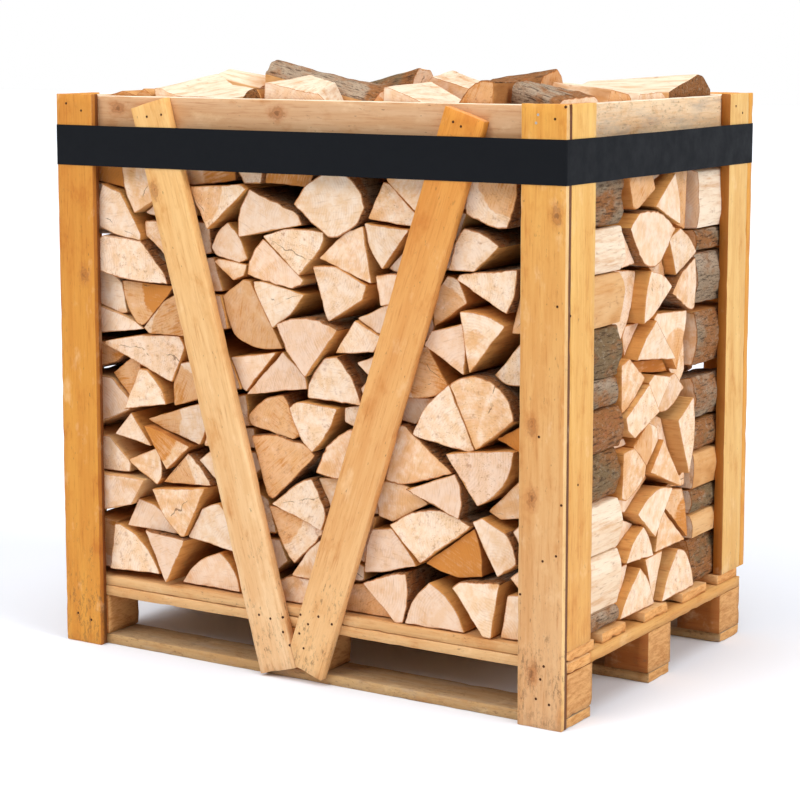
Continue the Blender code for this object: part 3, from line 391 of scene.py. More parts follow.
@dataclass(frozen=True)
class FurrowedBark:
    """Beech and oak bark: grey plates and brown furrows along the log, with pale lichen."""

    plate: str = "#B39C84"
    shaded: str = "#7F6747"
    brown: str = "#9C6638"
    rust: str = "#A9663A"
    furrow: str = "#38200F"
    lichen: str = "#B5A68E"
    plate_mm: float = 4.4
    furrow_mm: float = 30.0
    rubbed_mm: tuple[float, float] = (12.0, 40.0)

    def build(self, name: str) -> bpy.types.Material:
        """Makes the material, named as given."""
        wood = Wood(name, self.shaded)
        plates = wood.noise((self.plate_mm, self.plate_mm, self.furrow_mm), 5.0, 0.68)
        grit = wood.noise((3.0, 3.0, 6.0), 3.0, 0.75)
        # Sawdust and rubbing leave the bark browner near a sawn end.
        along = wood.node("SeparateXYZ", inputs={0: wood.grain}).outputs[2]
        start, stop = self.rubbed_mm
        rubbed = wood.math("SUBTRACT", 0.30, wood.step(along, start * MM, stop * MM, 0.30))
        patches = wood.noise((45.0, 45.0, 70.0), 3.0, 0.6)
        kind = wood.math("ADD", wood.math("MULTIPLY_ADD", wood.warmth, 0.20, patches), rubbed)
        lumps = wood.noise((12.0, 12.0, 24.0), 4.0, 0.7)
        rusty = wood.math("MULTIPLY_ADD", wood.warmth, 0.05, lumps)
        # The light tone picks between the grey plates and the darker shaded brown: partly the bark's
        # own colour, partly painted shade on bark that turns from the light, made deeper by the
        # painted top light.
        wood.stain(self.plate, wood.light, 0.3, 0.9)
        wood.stain(self.brown, kind, 0.48, 0.70)
        wood.stain(self.lichen, wood.noise((9.0, 9.0, 14.0), 4.0, 0.7), 0.50, 0.72, 0.55)
        wood.stain(self.rust, rusty, 0.60, 0.72, 0.80)
        wood.stain(self.furrow, plates, 0.50, 0.36, 0.80)
        wood.stain(self.furrow, grit, 0.52, 0.70, 0.75)
        return wood.finish(0.9, (plates, 6.0, 0.9), (grit, 1.2, 0.6))


@dataclass(frozen=True)
class SawnPine:
    """Rough sawn pine: soft growth bands and fibres along the board, knots, and grey weathering.

    Each board has its own colour in its tone, from pale straw to deep orange; bands, fibres and
    stains only deepen it.
    """

    late: str = "#E6C79A"
    fibre: str = "#D3A874"
    bleached: str = "#FFE2B4"
    knot: str = "#4A2A16"
    halo: str = "#B5682A"
    grey: str = "#A4968A"
    dirt: str = "#6A4829"
    band_mm: float = 9.0
    fibre_mm: float = 3.0
    knot_cell_mm: float = 120.0

    def build(self, name: str) -> bpy.types.Material:
        """Makes the material, named as given. Wood coordinates run along, across and through."""
        wood = Wood(name)
        wood.colour = wood.tone
        weather, soil = wood.read("weather"), wood.read("soil")
        split = wood.node("SeparateXYZ", inputs={0: wood.grain}).outputs
        drift = wood.math("MULTIPLY", wood.noise((420.0, 55.0, 90.0), 2.0), 60.0 * MM)
        across = wood.math("ADD", wood.math("ADD", split[1], split[2]), drift)
        bands = wood.math("SINE", wood.math("MULTIPLY", across, 2 * math.pi / (self.band_mm * MM)))
        fibre = wood.noise((50.0, self.fibre_mm, self.fibre_mm), 3.0, 0.6)
        soft = wood.noise((300.0, 24.0, 30.0), 3.0, 0.6)
        patches = wood.noise((80.0, 45.0, 60.0), 4.0, 0.65)
        banded = wood.math("MULTIPLY_ADD", bands, 0.02, soft)
        wood.stain(self.late, banded, 0.36, 0.70, 0.5, blend="MULTIPLY")
        wood.stain(self.fibre, fibre, 0.50, 0.78, 0.55, blend="MULTIPLY")
        wood.stain(self.late, patches, 0.52, 0.72, 0.6, blend="MULTIPLY")
        wood.stain(self.bleached, patches, 0.44, 0.28, 0.25)
        self.random_knots(wood, fibre)
        self.placed_knots(wood)
        dots = wood.math("MULTIPLY_ADD", weather, 0.08, wood.noise((11.0, 4.0, 4.0), 2.0))
        wood.stain(self.dirt, dots, 0.68, 0.78, 0.60)
        scuffs = wood.math("MULTIPLY_ADD", soil, 0.16, wood.noise((15.0, 6.0, 6.0), 4.0, 0.75))
        zone = wood.step(wood.noise((70.0, 40.0, 40.0), 2.0), 0.35, 0.60)
        wood.stain(self.dirt, scuffs, 0.60, 0.74, 0.60,
                   wood.math("MULTIPLY", zone, wood.step(soil, 0.0, 0.25)))
        worn = wood.math("ADD", wood.noise((120.0, 26.0, 40.0), 4.0, 0.7), weather)
        wood.stain(self.grey, worn, 0.80, 1.12, 0.72)
        wood.stain(self.dirt, wood.noise((30.0, 12.0, 20.0), 4.0, 0.72), 0.54, 0.70, 0.95, weather)
        return wood.finish(0.62, (fibre, 0.5, 0.4), (soft, 1.2, 0.25))

    def random_knots(self, wood: Wood, fibre: Any) -> None:
        """Stains knots in some cells of the board: a dark heart in an orange halo.

        Args:
            wood: the finish in the making.
            fibre: the pattern that makes them ragged.
        """
        cells = wood.vector("MULTIPLY", wood.grain, per_mm(*(self.knot_cell_mm,) * 3))
        spots = wood.node("TexVoronoi", {"voronoi_dimensions": "4D"},
                          {"Vector": cells, "W": wood.seed, "Scale": 1.0}).outputs
        chance = wood.node("SeparateColor", inputs={0: spots["Color"]}).outputs[0]
        gate = wood.step(chance, 0.70, 0.72)
        ragged = wood.math("MULTIPLY_ADD", fibre, 0.05, spots["Distance"])
        wood.stain(self.halo, ragged, 0.17, 0.06, 0.6, gate)
        wood.stain(self.knot, ragged, 0.062, 0.042, 0.85, gate)

    def placed_knots(self, wood: Wood) -> None:
        """Stains knots at the board's own places.

        Args:
            wood: the finish in the making; its mesh stores the way to the nearest knot as "knot",
                along and across, with 1 in the third place where there is none.
        """
        offset = wood.read("knot", "Vector")
        near = wood.step(wood.node("SeparateXYZ", inputs={0: offset}).outputs[2], 0.5, 0.05)
        reach = wood.vector("LENGTH", wood.vector("MULTIPLY", offset, (0.6, 1.0, 0.0)))
        ragged = wood.math("MULTIPLY_ADD", wood.noise((9.0, 7.0, 7.0), 3.0), 22 * MM,
                           wood.math("SUBTRACT", reach, 8 * MM))
        ring = wood.math("ABSOLUTE", wood.math("SUBTRACT", ragged, 11 * MM))
        wood.stain(self.halo, ragged, 24 * MM, 6 * MM, 0.6, near)
        wood.stain(self.dirt, ring, 3.5 * MM, 0.5 * MM, 0.25, near)
        wood.stain(self.knot, ragged, 9 * MM, 4 * MM, 0.50, near)


@dataclass(frozen=True)
class PineEnd:
    """The cross-cut end of a pine board: browner than its faces, with arcs of growth rings."""

    light: str = "#F2BE7C"
    dark: str = "#C48240"
    ring_mm: float = 6.5
    pith: Triple = (0.0, 20 * MM, 60 * MM)

    def build(self, name: str) -> bpy.types.Material:
        """Makes the material, named as given."""
        wood = Wood(name, self.light)
        away = wood.vector("MULTIPLY_ADD", wood.grain, (0.0, 1.0, 1.0), self.pith)
        reach = wood.vector("LENGTH", away)
        waves = wood.math("SINE", wood.math("MULTIPLY", reach, 2 * math.pi / (self.ring_mm * MM)))
        value = wood.math("MULTIPLY_ADD", waves, 0.018, wood.noise((9.0, 26.0, 6.0), 4.0, 0.7))
        wood.stain(self.dark, value, 0.36, 0.70, 0.8)
        wood.mix(0.35, wood.tone, "MULTIPLY")
        return wood.finish(0.85, (wood.noise((3.0, 3.0, 3.0), 3.0, 0.65), 0.8, 0.6))


@dataclass(frozen=True)
class PlainFinish:
    """One colour with a faint texture: steel nails and screws, plastic film."""

    colour: str
    roughness: float
    metallic: float = 0.0
    crease_mm: float = 30.0
    crease_depth_mm: float = 0.0

    def build(self, name: str) -> bpy.types.Material:
        """Makes the material, named as given."""
        material = bpy.data.materials.new(name)
        material.use_nodes = True
        tree = material.node_tree
        shader = tree.nodes["Principled BSDF"]
        shader.inputs["Base Color"].default_value = linear(self.colour)
        shader.inputs["Metallic"].default_value = self.metallic
        shader.inputs["Specular IOR Level"].default_value = 0.5 if self.metallic else 0.15
        place = add_node(tree, "TexCoord").outputs["Object"]
        creases = add_node(tree, "TexNoise", inputs={
            "Vector": place, "Scale": per_mm(self.crease_mm)[0], "Detail": 4.0,
            "Roughness": 0.6}).outputs[0]
        spread = add_node(tree, "MapRange", inputs={
            "Value": creases, "From Min": 0.3, "From Max": 0.7,
            "To Min": self.roughness - 0.07, "To Max": self.roughness + 0.09})
        tree.links.new(spread.outputs[0], shader.inputs["Roughness"])
        if self.crease_depth_mm:
            bump = add_node(tree, "Bump", inputs={"Height": creases, "Strength": 0.5,
                                                  "Distance": self.crease_depth_mm * MM})
            tree.links.new(bump.outputs[0], shader.inputs["Normal"])
        return material


class Finishes:
    """Every material of the crate, made once."""

    def __init__(self) -> None:
        """Makes the materials."""
        # A darker copy of the riven face: painted shade on the faces of logs packed in a row.
        shaded = RivenFace(cream="#D9A566", pale="#DB9E57", mid="#BC7636", dark="#7A3E17")
        # The materials of a mesh of logs, in the order of LogSlot.
        self.logs = (
            SawnEndGrain().build("beech_sawn_end"), RivenFace().build("beech_riven_face"),
            FurrowedBark().build("furrowed_bark"), shaded.build("beech_riven_painted_shade"))
        self.boards = (SawnPine().build("pine_rough_sawn"), PineEnd().build("pine_cross_cut"))
        # Black-blue polypropylene film: satin, faintly creased where it was pulled tight.
        film = PlainFinish("#0A0D12", 0.55, crease_mm=36.0, crease_depth_mm=0.8)
        self.film = film.build("printed_film")
        self.nail = PlainFinish("#4A2814", 0.7).build("rusted_nail_steel")
        self.screw = PlainFinish("#C9C9C6", 0.34, 1.0).build("zinc_plated_screw")


# ---------------------------------------------------------------- mesh helpers
def wobble(points: np.ndarray, sizes_mm: Triple, seed: float) -> np.ndarray:
    """Smooth noise from -1 to 1 at each point, in bumps of these sizes, new for every seed."""
    shift = Vector((seed * 7.31, seed * 3.77, seed * 5.13))
    return np.array([noise.noise(Vector(point) + shift) for point in points * per_mm(*sizes_mm)])


def clean_copy(solid: bpy.types.Object) -> bmesh.types.BMesh:
    """A copy of a solid's mesh with its triangles joined into its real flat faces."""
    mesh = bmesh.new()
    mesh.from_mesh(solid.data)
    bmesh.ops.remove_doubles(mesh, verts=mesh.verts[:], dist=0.02 * MM)
    bmesh.ops.dissolve_limit(mesh, angle_limit=math.radians(0.4), verts=mesh.verts[:],
                             edges=mesh.edges[:])
    return mesh


def show_piece(mesh: bpy.types.Mesh, materials: Iterable[bpy.types.Material], sharp_deg: float,
               slot: str, *nodes: str) -> None:
    """Makes a mesh a piece that rides on the crate, and reports it.

    Args:
        mesh: its mesh, which gives the piece its name.
        materials: its materials, in slot order.
        sharp_deg: edges that turn more than this stay sharp.
        slot: the record's material slot; not used.
        nodes: the solids that it stands for.
    """
    for material in materials:
        mesh.materials.append(material)
    mesh.shade_smooth()
    mesh.set_sharp_from_angle(angle=math.radians(sharp_deg))
    mesh.validate()
    piece = bpy.data.objects.new(mesh.name, mesh)
    bpy.context.scene.collection.objects.link(piece)
    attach(piece, BODY)
    if nodes:
        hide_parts(*nodes)
    LOG.info("%s: %d faces, for %s", piece.name, len(mesh.polygons), ", ".join(nodes) or "itself")


def tube_faces(ring: int, layers: int, first: int = 0, closed: bool = False) -> Faces:
    """Quads between neighbouring rings of points.

    Args:
        ring: points in each ring.
        layers: how many rings there are, one after the other.
        first: the number of the first point.
        closed: whether the last ring joins the first.

    Returns:
        The faces, ring after ring.
    """
    faces = []
    for layer in range(layers if closed else layers - 1):
        here, there = first + layer * ring, first + (layer + 1) % layers * ring
        for index in range(ring):
            after = (index + 1) % ring
            faces.append((here + index, there + index, there + after, here + after))
    return faces


@dataclass
class Heap:
    """Grows one joined mesh of many closed shells that carry the wood's own coordinates."""

    points: list[np.ndarray] = field(default_factory=list)
    faces: Faces = field(default_factory=list)
    slots: list[int] = field(default_factory=list)
    grain: list[np.ndarray] = field(default_factory=list)
    tones: list[np.ndarray] = field(default_factory=list)
    rims: list[np.ndarray] = field(default_factory=list)
    count: int = 0

    def add(self, points: np.ndarray, faces: Faces, slots: list[int],
            grain: np.ndarray, tones: np.ndarray, rims: np.ndarray) -> None:
        """Adds one closed shell.

        Args:
            points: its vertices in metres.
            faces: vertex numbers of each face, counter-clockwise from outside.
            slots: the material slot of each face.
            grain: the wood's own coordinates at each vertex.
            tones: warmth, lightness, pinkness and a seed between 0 and 1, at each vertex.
            rims: 1 at the bark's edge of an end, 0 elsewhere.
        """
        self.points.append(points)
        self.faces.extend(tuple(self.count + index for index in face) for face in faces)
        self.slots.extend(slots)
        self.grain.append(grain)
        self.tones.append(tones)
        self.rims.append(rims)
        self.count += len(points)

    def mesh(self, name: str) -> bpy.types.Mesh:
        """Makes the mesh.

        Args:
            name: the piece's name.

        Returns:
            The mesh with its attributes and material slots.
        """
        mesh = bpy.data.meshes.new(name)
        mesh.from_pydata(np.concatenate(self.points), [], self.faces)
        mesh.polygons.foreach_set("material_index", self.slots)
        for label, kind, key, rows in (
            ("grain", "FLOAT_VECTOR", "vector", self.grain),
            ("tone", "FLOAT_COLOR", "color", self.tones),
            ("rim", "FLOAT", "value", self.rims),
        ):
            layer = mesh.attributes.new(label, kind, "POINT")
            layer.data.foreach_set(key, np.concatenate(rows).astype(np.float32).ravel())
        return mesh


# ---------------------------------------------------------------- split logs
@dataclass
class EndCap:
    """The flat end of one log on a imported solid."""

    level: float
    outline: np.ndarray

    @property
    def centre(self) -> np.ndarray:
        """The mean of the outline's corners."""
        return self.outline.mean(axis=0)


def end_caps(solid: bpy.types.Object, axis: int, side: int) -> list[EndCap]:
    """Finds the flat faces of a solid that look along an axis.

    Args:
        solid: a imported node.
        axis: 0 for X, 1 for Y.
        side: -1 or 1, the way that the faces look.

    Returns:
        One cap for each flat face, with its outline as (across, height), counter-clockwise.
    """
    mesh = clean_copy(solid)
    caps = []
    for face in mesh.faces:
        if face.normal[axis] * side < 0.999:
            continue
        outline = np.array([(loop.vert.co[1 - axis], loop.vert.co.z) for loop in face.loops])
        following = np.roll(outline, -1, axis=0)
        if np.sum(outline[:, 0] * following[:, 1] - following[:, 0] * outline[:, 1]) < 0:
            outline = outline[::-1]
        caps.append(EndCap(face.verts[0].co[axis], outline))
    mesh.free()
    return caps


class Coat(Enum):
    """Where a log keeps its bark: nowhere, on its rounded sides, or on its longest side as well."""

    NONE = 0
    ROUND = 1
    LONGEST = 2


@dataclass
class Skin:
    """A log's outline, sampled: its points, outward normals and which stretches are bark."""

    points: np.ndarray
    normals: np.ndarray
    bark: np.ndarray
    lip_reach: ClassVar[float] = 2.4 * MM
    lip_sink: ClassVar[float] = 0.7 * MM
    soft_deg: ClassVar[float] = 34.0

    @classmethod
    def from_corners(cls, corners: np.ndarray, pitch: float, coat: Coat,
                     facing: tuple[float, float] | None = None, peeled: float = 0.0) -> Skin:
        """Samples an outline, with soft bends as curves and single edges as split faces.

        Args:
            corners: the outline's corners, counter-clockwise.
            pitch: distance between samples, in metres.
            coat: which stretches are bark.
            facing: the way that the bark looks, as (across, up), or (0, 0) for none; where it is
                given, it takes the place of the coat.
            peeled: share of the outline's height below which the bark is gone.

        Returns:
            The sampled outline.
        """
        runs, barked = cls.runs(corners, coat, facing)
        middle = corners.mean(axis=0)
        points, bark = [], []
        for run, is_bark in zip(runs, barked):
            line = cls.smooth(run) if len(run) > 2 else np.array(run)
            spans = np.linalg.norm(np.diff(line, axis=0), axis=1)
            total = float(spans.sum())
            lip = min(cls.lip_reach, total * 0.2)
            inner = max(1, round((total - 2 * lip) / (pitch if is_bark else pitch * 1.25)))
            at = np.concatenate(([0.0], np.linspace(lip, total - lip, inner + 1)))
            arrive = np.concatenate(([0.0], np.cumsum(spans)))
            samples = np.stack([np.interp(at, arrive, line[:, axis]) for axis in (0, 1)], axis=1)
            inward = middle - samples[0]
            samples[0] += inward / max(np.linalg.norm(inward), TINY) * cls.lip_sink
            points.append(samples)
            bark.extend([is_bark] * len(samples))
        ring = np.concatenate(points)
        tangent = np.roll(ring, -1, axis=0) - np.roll(ring, 1, axis=0)
        tangent /= np.maximum(np.linalg.norm(tangent, axis=1, keepdims=True), TINY)
        low, high = ring[:, 1].min(), ring[:, 1].max()
        coated = np.array(bark) & (ring[:, 1] >= low + peeled * (high - low))
        # The bark's own thickness shows as a lip on the faces beside it.
        coated = coated | np.roll(coated, 1) | np.roll(coated, -1)
        return cls(ring, np.stack([tangent[:, 1], -tangent[:, 0]], axis=1), coated)

    @classmethod
    def runs(cls, corners: np.ndarray, coat: Coat,
             facing: tuple[float, float] | None) -> tuple[list[list[np.ndarray]], list[bool]]:
        """Parts an outline at its hard bends.

        Args:
            corners: the outline's corners, counter-clockwise.
            coat: which stretches are bark.
            facing: the way that the bark looks, or None.

        Returns:
            The corners of each stretch, and whether each is bark.
        """
        count = len(corners)
        edges = np.roll(corners, -1, axis=0) - corners
        heading = np.arctan2(edges[:, 1], edges[:, 0])
        bend = (heading - np.roll(heading, 1) + math.pi) % (2 * math.pi) - math.pi
        soft = bend < math.radians(cls.soft_deg)
        outward = np.stack([edges[:, 1], -edges[:, 0]], axis=1)
        outward /= np.linalg.norm(edges, axis=1)[:, None]
        coated = outward @ np.array(facing or (0.0, 0.0)) > 0.6
        if facing is not None:
            soft = coated & np.roll(coated, 1)
        starts = [index for index in range(count) if not soft[index]] or [0]
        runs = []
        for place, start in enumerate(starts):
            steps = (starts[(place + 1) % len(starts)] - start) % count or count
            runs.append([corners[(start + step) % count] for step in range(steps + 1)])
        if facing is not None:
            return runs, [bool(coated[start]) for start in starts]
        barked = [len(run) > 2 and coat is not Coat.NONE for run in runs]
        if coat is Coat.LONGEST and not any(barked):
            barked[int(np.argmax([np.linalg.norm(run[-1] - run[0]) for run in runs]))] = True
        return runs, barked

    @staticmethod
    def smooth(run: list[np.ndarray], fine: int = 6) -> np.ndarray:
        """A Catmull-Rom curve through the points of a run.

        Args:
            run: its points.
            fine: steps from one point to the next.

        Returns:
            The curve's points.
        """
        knots = [2 * run[0] - run[1], *run, 2 * run[-1] - run[-2]]
        curve = []
        for a, b, c, d in zip(knots, knots[1:], knots[2:], knots[3:]):
            for step in range(fine):
                t = step / fine
                curve.append(0.5 * (2 * b + (c - a) * t + (2 * a - 5 * b + 4 * c - d) * t * t
                                    + (3 * b - a - 3 * c + d) * t ** 3))
        return np.array([*curve, run[-1]])


class LogSlot(Enum):
    """Material slots of a mesh of logs."""

    END = 0
    RIVEN = 1
    BARK = 2
    # The darker riven copy: painted shade between packed logs.
    PAINTED_SHADE = 3


@dataclass(frozen=True)
class Tone:
    """How a log looks: orange warmth, lightness, pinkness, and a seed between 0 and 1."""

    warmth: float
    light: float
    pink: float
    seed: float


@dataclass
class Billet:
    """One log to shape: its end's outline, its length and how it shows."""

    outline: np.ndarray
    length: float
    tone: Tone
    even_mm: float = 0.0
    coat: Coat = Coat.ROUND
    facing: tuple[float, float] | None = None
    warp: Warp | None = None
    barked_end: bool = False
    peeled: float = 0.0

    @property
    def pith(self) -> np.ndarray:
        """The sharpest corner, which was nearest the middle of the trunk."""
        back = np.roll(self.outline, 1, axis=0) - self.outline
        ahead = np.roll(self.outline, -1, axis=0) - self.outline
        cosine = np.sum(back * ahead, axis=1)
        cosine /= np.linalg.norm(back, axis=1) * np.linalg.norm(ahead, axis=1)
        return self.outline[int(np.argmax(cosine))]


@dataclass
class LogMaker:
    """Shapes split logs: sawn ends, riven faces with fibres, and furrowed bark."""

    pitch: float = 8.0 * MM
    riven_ripple: float = 0.9 * MM
    riven_wave: float = 1.7 * MM
    bark_ripple: float = 1.9 * MM
    bark_wave: float = 1.5 * MM
    end_ripple: float = 0.45 * MM
    end_lean: float = 0.035
    lean_reach: float = 45 * MM
    inset_rings: tuple[float, ...] = (0.62, 0.30)
    bark_rim: float = 4.2 * MM
    riven_rim: float = 0.66
    # How far a face must turn up to keep its light tone: painted top light.
    top_light: tuple[float, float] = (0.10, 0.35)
    depths_mm: tuple[float, ...] = (0.0, 1.6, 6.0, 14.0, 26.0, 42.0, 66.0, 110.0)
    end_depths_mm: tuple[float, ...] = (0.0, 1.6, 5.0)
    inner_depth: float = 12 * MM
    # Sizes of the bumps across, up and along the log.
    fibre_mm: Triple = (7.0, 7.0, 70.0)
    wave_mm: Triple = (34.0, 34.0, 120.0)
    furrow_mm: Triple = (9.0, 9.0, 26.0)
    swell_mm: Triple = (24.0, 24.0, 60.0)
    chip_mm: Triple = (13.0, 13.0, 13.0)
    riven_lift: float = 1.0 * MM
    bark_lift: float = 0.8 * MM
    arris_wear: float = 0.5 * MM
    chip_depth: float = 4 * MM

    def shape(self, heap: Heap, billet: Billet, lie: Lie) -> None:
        """Adds a log to a heap.

        Args:
            heap: the mesh that the log joins.
            billet: the log.
            lie: turns across, height and depth into world points.
        """
        tone, seed, whole = billet.tone, billet.tone.seed * 61.0, billet.even_mm > 0
        skin = Skin.from_corners(billet.outline, self.pitch, billet.coat, billet.facing,
                                 billet.peeled)
        middle, ring = skin.points.mean(axis=0), len(skin.points)
        depths = self.stations(billet)
        layers = [self.roughen(skin, depth, billet, seed) for depth in depths]
        insets = self.inset_rings
        near_face = self.face_rings(layers[0], middle, insets, seed)
        far_face = self.face_rings(layers[-1], middle, insets if whole else None, seed + 5)
        points = np.concatenate([*layers, near_face, far_face])
        true = np.concatenate([np.tile(skin.points, (len(depths), 1)), near_face[:, :2],
                               far_face[:, :2]])
        depth = np.repeat([*depths, 0.0, billet.length],
                          [*[ring] * len(depths), len(near_face), len(far_face)])
        grain = np.column_stack([true - billet.pith, depth])
        lean = np.array([math.sin(seed * 3.1), math.cos(seed * 2.3)]) * self.end_lean
        leaning = np.clip(1.0 - points[:, 2] / self.lean_reach, 0.0, 1.0)
        points[:, 2] += leaning * ((points[:, :2] - middle) @ lean)
        if billet.warp is not None:
            share = np.clip(points[:, 2:] / billet.length, 0.0, 1.0)
            points[:, :2] = points[:, :2] * (1 - share) + billet.warp(points[:, :2]) * share
        start = ring * len(depths)
        near = self.cap_faces(0, start, ring, len(near_face) // ring)
        far = [face[::-1] for face in self.cap_faces(start - ring, start + len(near_face), ring,
                                                     len(far_face) // ring)]
        faces = tube_faces(ring, len(depths)) + near + far
        # Logs packed in a row take the darker riven copy as painted shade; whole logs take the plain
        # one.
        bare = LogSlot.RIVEN if whole else LogSlot.PAINTED_SHADE
        around = [LogSlot.BARK if bark else bare for bark in skin.bark]
        near_slot = LogSlot.BARK if billet.barked_end else LogSlot.END
        slots = [*around * (len(depths) - 1), *[near_slot] * len(near), *[LogSlot.END] * len(far)]
        if lie.flip:
            faces = [face[::-1] for face in faces]
        rims = np.concatenate([np.tile(np.where(skin.bark, 1.0, self.riven_rim), len(depths)),
                               np.zeros(len(points) - start)])
        tones = np.tile((tone.warmth, tone.light, tone.pink, tone.seed), (len(points), 1))
        if whole:
            # Painted top light: the light tone stays on the upper faces and drops on the others, so
            # the tops look lit.
            upward = np.clip((skin.normals[:, 1] - self.top_light[0]) / self.top_light[1], 0.0, 1.0)
            tones[:start, 1] *= np.tile(0.6 + 0.4 * upward, len(depths))
        heap.add(lie.place(points), faces, [slot.value for slot in slots], grain, tones, rims)

    def stations(self, billet: Billet) -> np.ndarray:
        """Depths of the rings: even on a log that shows whole, else close together at its near end.

        Args:
            billet: the log.

        Returns:
            The depths in metres, from 0 to the log's length.
        """
        length = billet.length
        if not billet.even_mm:
            depths = np.array(self.depths_mm) * MM
            return np.array([*depths[depths < length * 0.8], length])
        near, inner = np.array(self.end_depths_mm) * MM, self.inner_depth
        count = max(2, round(length / (billet.even_mm * MM)))
        even = np.linspace(inner, length - inner, count)
        return np.concatenate((near, even, length - near[::-1]))

    def roughen(self, skin: Skin, depth: float, billet: Billet, seed: float) -> np.ndarray:
        """Makes one ring of the log's skin: fibres, furrows and the sawn edge.

        Args:
            skin: the sampled outline.
            depth: the ring's distance from the near end.
            billet: the log.
            seed: makes its noise its own.

        Returns:
            The ring's points as (across, height, depth).
        """
        flat = np.column_stack([skin.points, np.full(len(skin.points), depth)])
        fibres = wobble(flat, self.fibre_mm, seed) * self.riven_ripple
        waves = wobble(flat, self.wave_mm, seed + 11) * self.riven_wave
        furrows = wobble(flat, self.furrow_mm, seed + 23) * self.bark_ripple
        swell = wobble(flat, self.swell_mm, seed + 31) * self.bark_wave
        riven = fibres + waves + self.riven_lift
        push = np.where(skin.bark, furrows + swell + self.bark_lift, riven)
        if (min(depth, billet.length - depth) if billet.even_mm else depth) < 1 * MM:
            chips = np.clip(wobble(flat, self.chip_mm, seed + 43) - 0.25, 0, 1)
            push = push - self.arris_wear - chips * self.chip_depth
        flat[:, :2] += skin.normals * push[:, None]
        return flat

    def face_rings(self, rim: np.ndarray, middle: np.ndarray, insets: tuple[float, ...] | None,
                   seed: float) -> np.ndarray:
        """The points of an end face inside its rim.

        Args:
            rim: the last ring of the skin.
            middle: the face's middle.
            insets: sizes of the inner rings as shares of the rim, or None for the middle alone.
            seed: makes the sawn surface its own.

        Returns:
            The points of the rings, from the rim inwards, then the middle.
        """
        spokes = rim[:, :2] - middle
        lengths = np.maximum(np.linalg.norm(spokes, axis=1, keepdims=True), 3 * self.bark_rim)
        shares = [] if insets is None else [1 - self.bark_rim / lengths, *insets]
        rings = [np.column_stack([middle + spokes * share, rim[:, 2]]) for share in shares]
        face = np.concatenate([*rings, np.array([[*middle, rim[:, 2].mean()]])])
        face[:, 2] += wobble(face, (16.0, 16.0, FLAT_MM), seed + 53) * self.end_ripple
        return face

    def cap_faces(self, rim: int, start: int, ring: int, loops: int) -> Faces:
        """Faces of an end, from the rim inwards through its loops to the middle point.

        Args:
            rim: the first point of the rim.
            start: the first point of the loops.
            ring: points in each loop.
            loops: how many loops there are.

        Returns:
            The faces, as seen from the near end.
        """
        bases = [rim, *(start + ring * number for number in range(loops))]
        sides = [(index, (index + 1) % ring) for index in range(ring)]
        made = [(outer + here, outer + after, inner + after, inner + here)
                for outer, inner in zip(bases, bases[1:]) for here, after in sides]
        last, middle = bases[-1], start + ring * loops
        return made + [(last + here, last + after, middle) for here, after in sides]


@dataclass(frozen=True)
class Lie:
    """How a log lies: along which axis, which way its near end looks, and where that end is."""

    axis: int
    side: int
    level: float

    @property
    def flip(self) -> bool:
        """Whether faces have to be turned round after placing."""
        return (self.axis == 1) == (self.side == 1)

    def place(self, points: np.ndarray) -> np.ndarray:
        """Puts (across, height, depth) points into the world."""
        columns = [points[:, 0], self.level - self.side * points[:, 2], points[:, 1]]
        return np.column_stack(columns if self.axis == 1 else [columns[1], columns[0], columns[2]])


@dataclass
class ToneBook:
    """Which stacked logs stand out: by place, in centimetres from the row's left or front end."""

    heartwood: Places = ()
    tan: Places = ()
    golden: Places = ()
    aged: Places = ()
    pinkish: Places = ()
    white: Places = ()
    origin: float = 0.0
    reach: float = 12 * MM

    def tone(self, centre: np.ndarray, draw: np.random.Generator) -> Tone:
        """The tone of one log.

        Args:
            centre: the middle of its end, as (across, height).
            draw: four numbers are drawn from it.

        Returns:
            The tone of its kind, or a common one.
        """
        warmth, light, pink, seed = draw.random(4)
        kinds = (
            (self.heartwood, Tone(0.75 + 0.2 * warmth, 0.6 + 0.3 * light, 0.0, seed)),
            (self.tan, Tone(0.40 + 0.14 * warmth, 0.6 + 0.3 * light, 0.0, seed)),
            (self.golden, Tone(0.24 + 0.08 * warmth, 0.8 + 0.2 * light, 0.0, seed)),
            (self.aged, Tone(0.46 + 0.1 * warmth, 0.1 * light, 0.2, seed)),
            (self.pinkish, Tone(0.05 * warmth, 0.4 + 0.25 * light, 0.6 + 0.2 * pink, seed)),
            (self.white, Tone(0.0, 0.9 + 0.1 * light, 0.15 * pink, seed)),
        )
        place = (centre[0] - self.origin, centre[1])
        for places, tone in kinds:
            if any(math.dist(place, (across * CM, up * CM)) < self.reach for across, up in places):
                return tone
        return Tone(0.30 * warmth ** 2, 0.4 + 0.6 * light, 0.6 * pink ** 2, seed)


@dataclass(frozen=True)
class SideLook:
    """How the log at one height, in centimetres, shows along the crate's right side."""

    height: float
    barked: bool
    warmth: float
    light: float


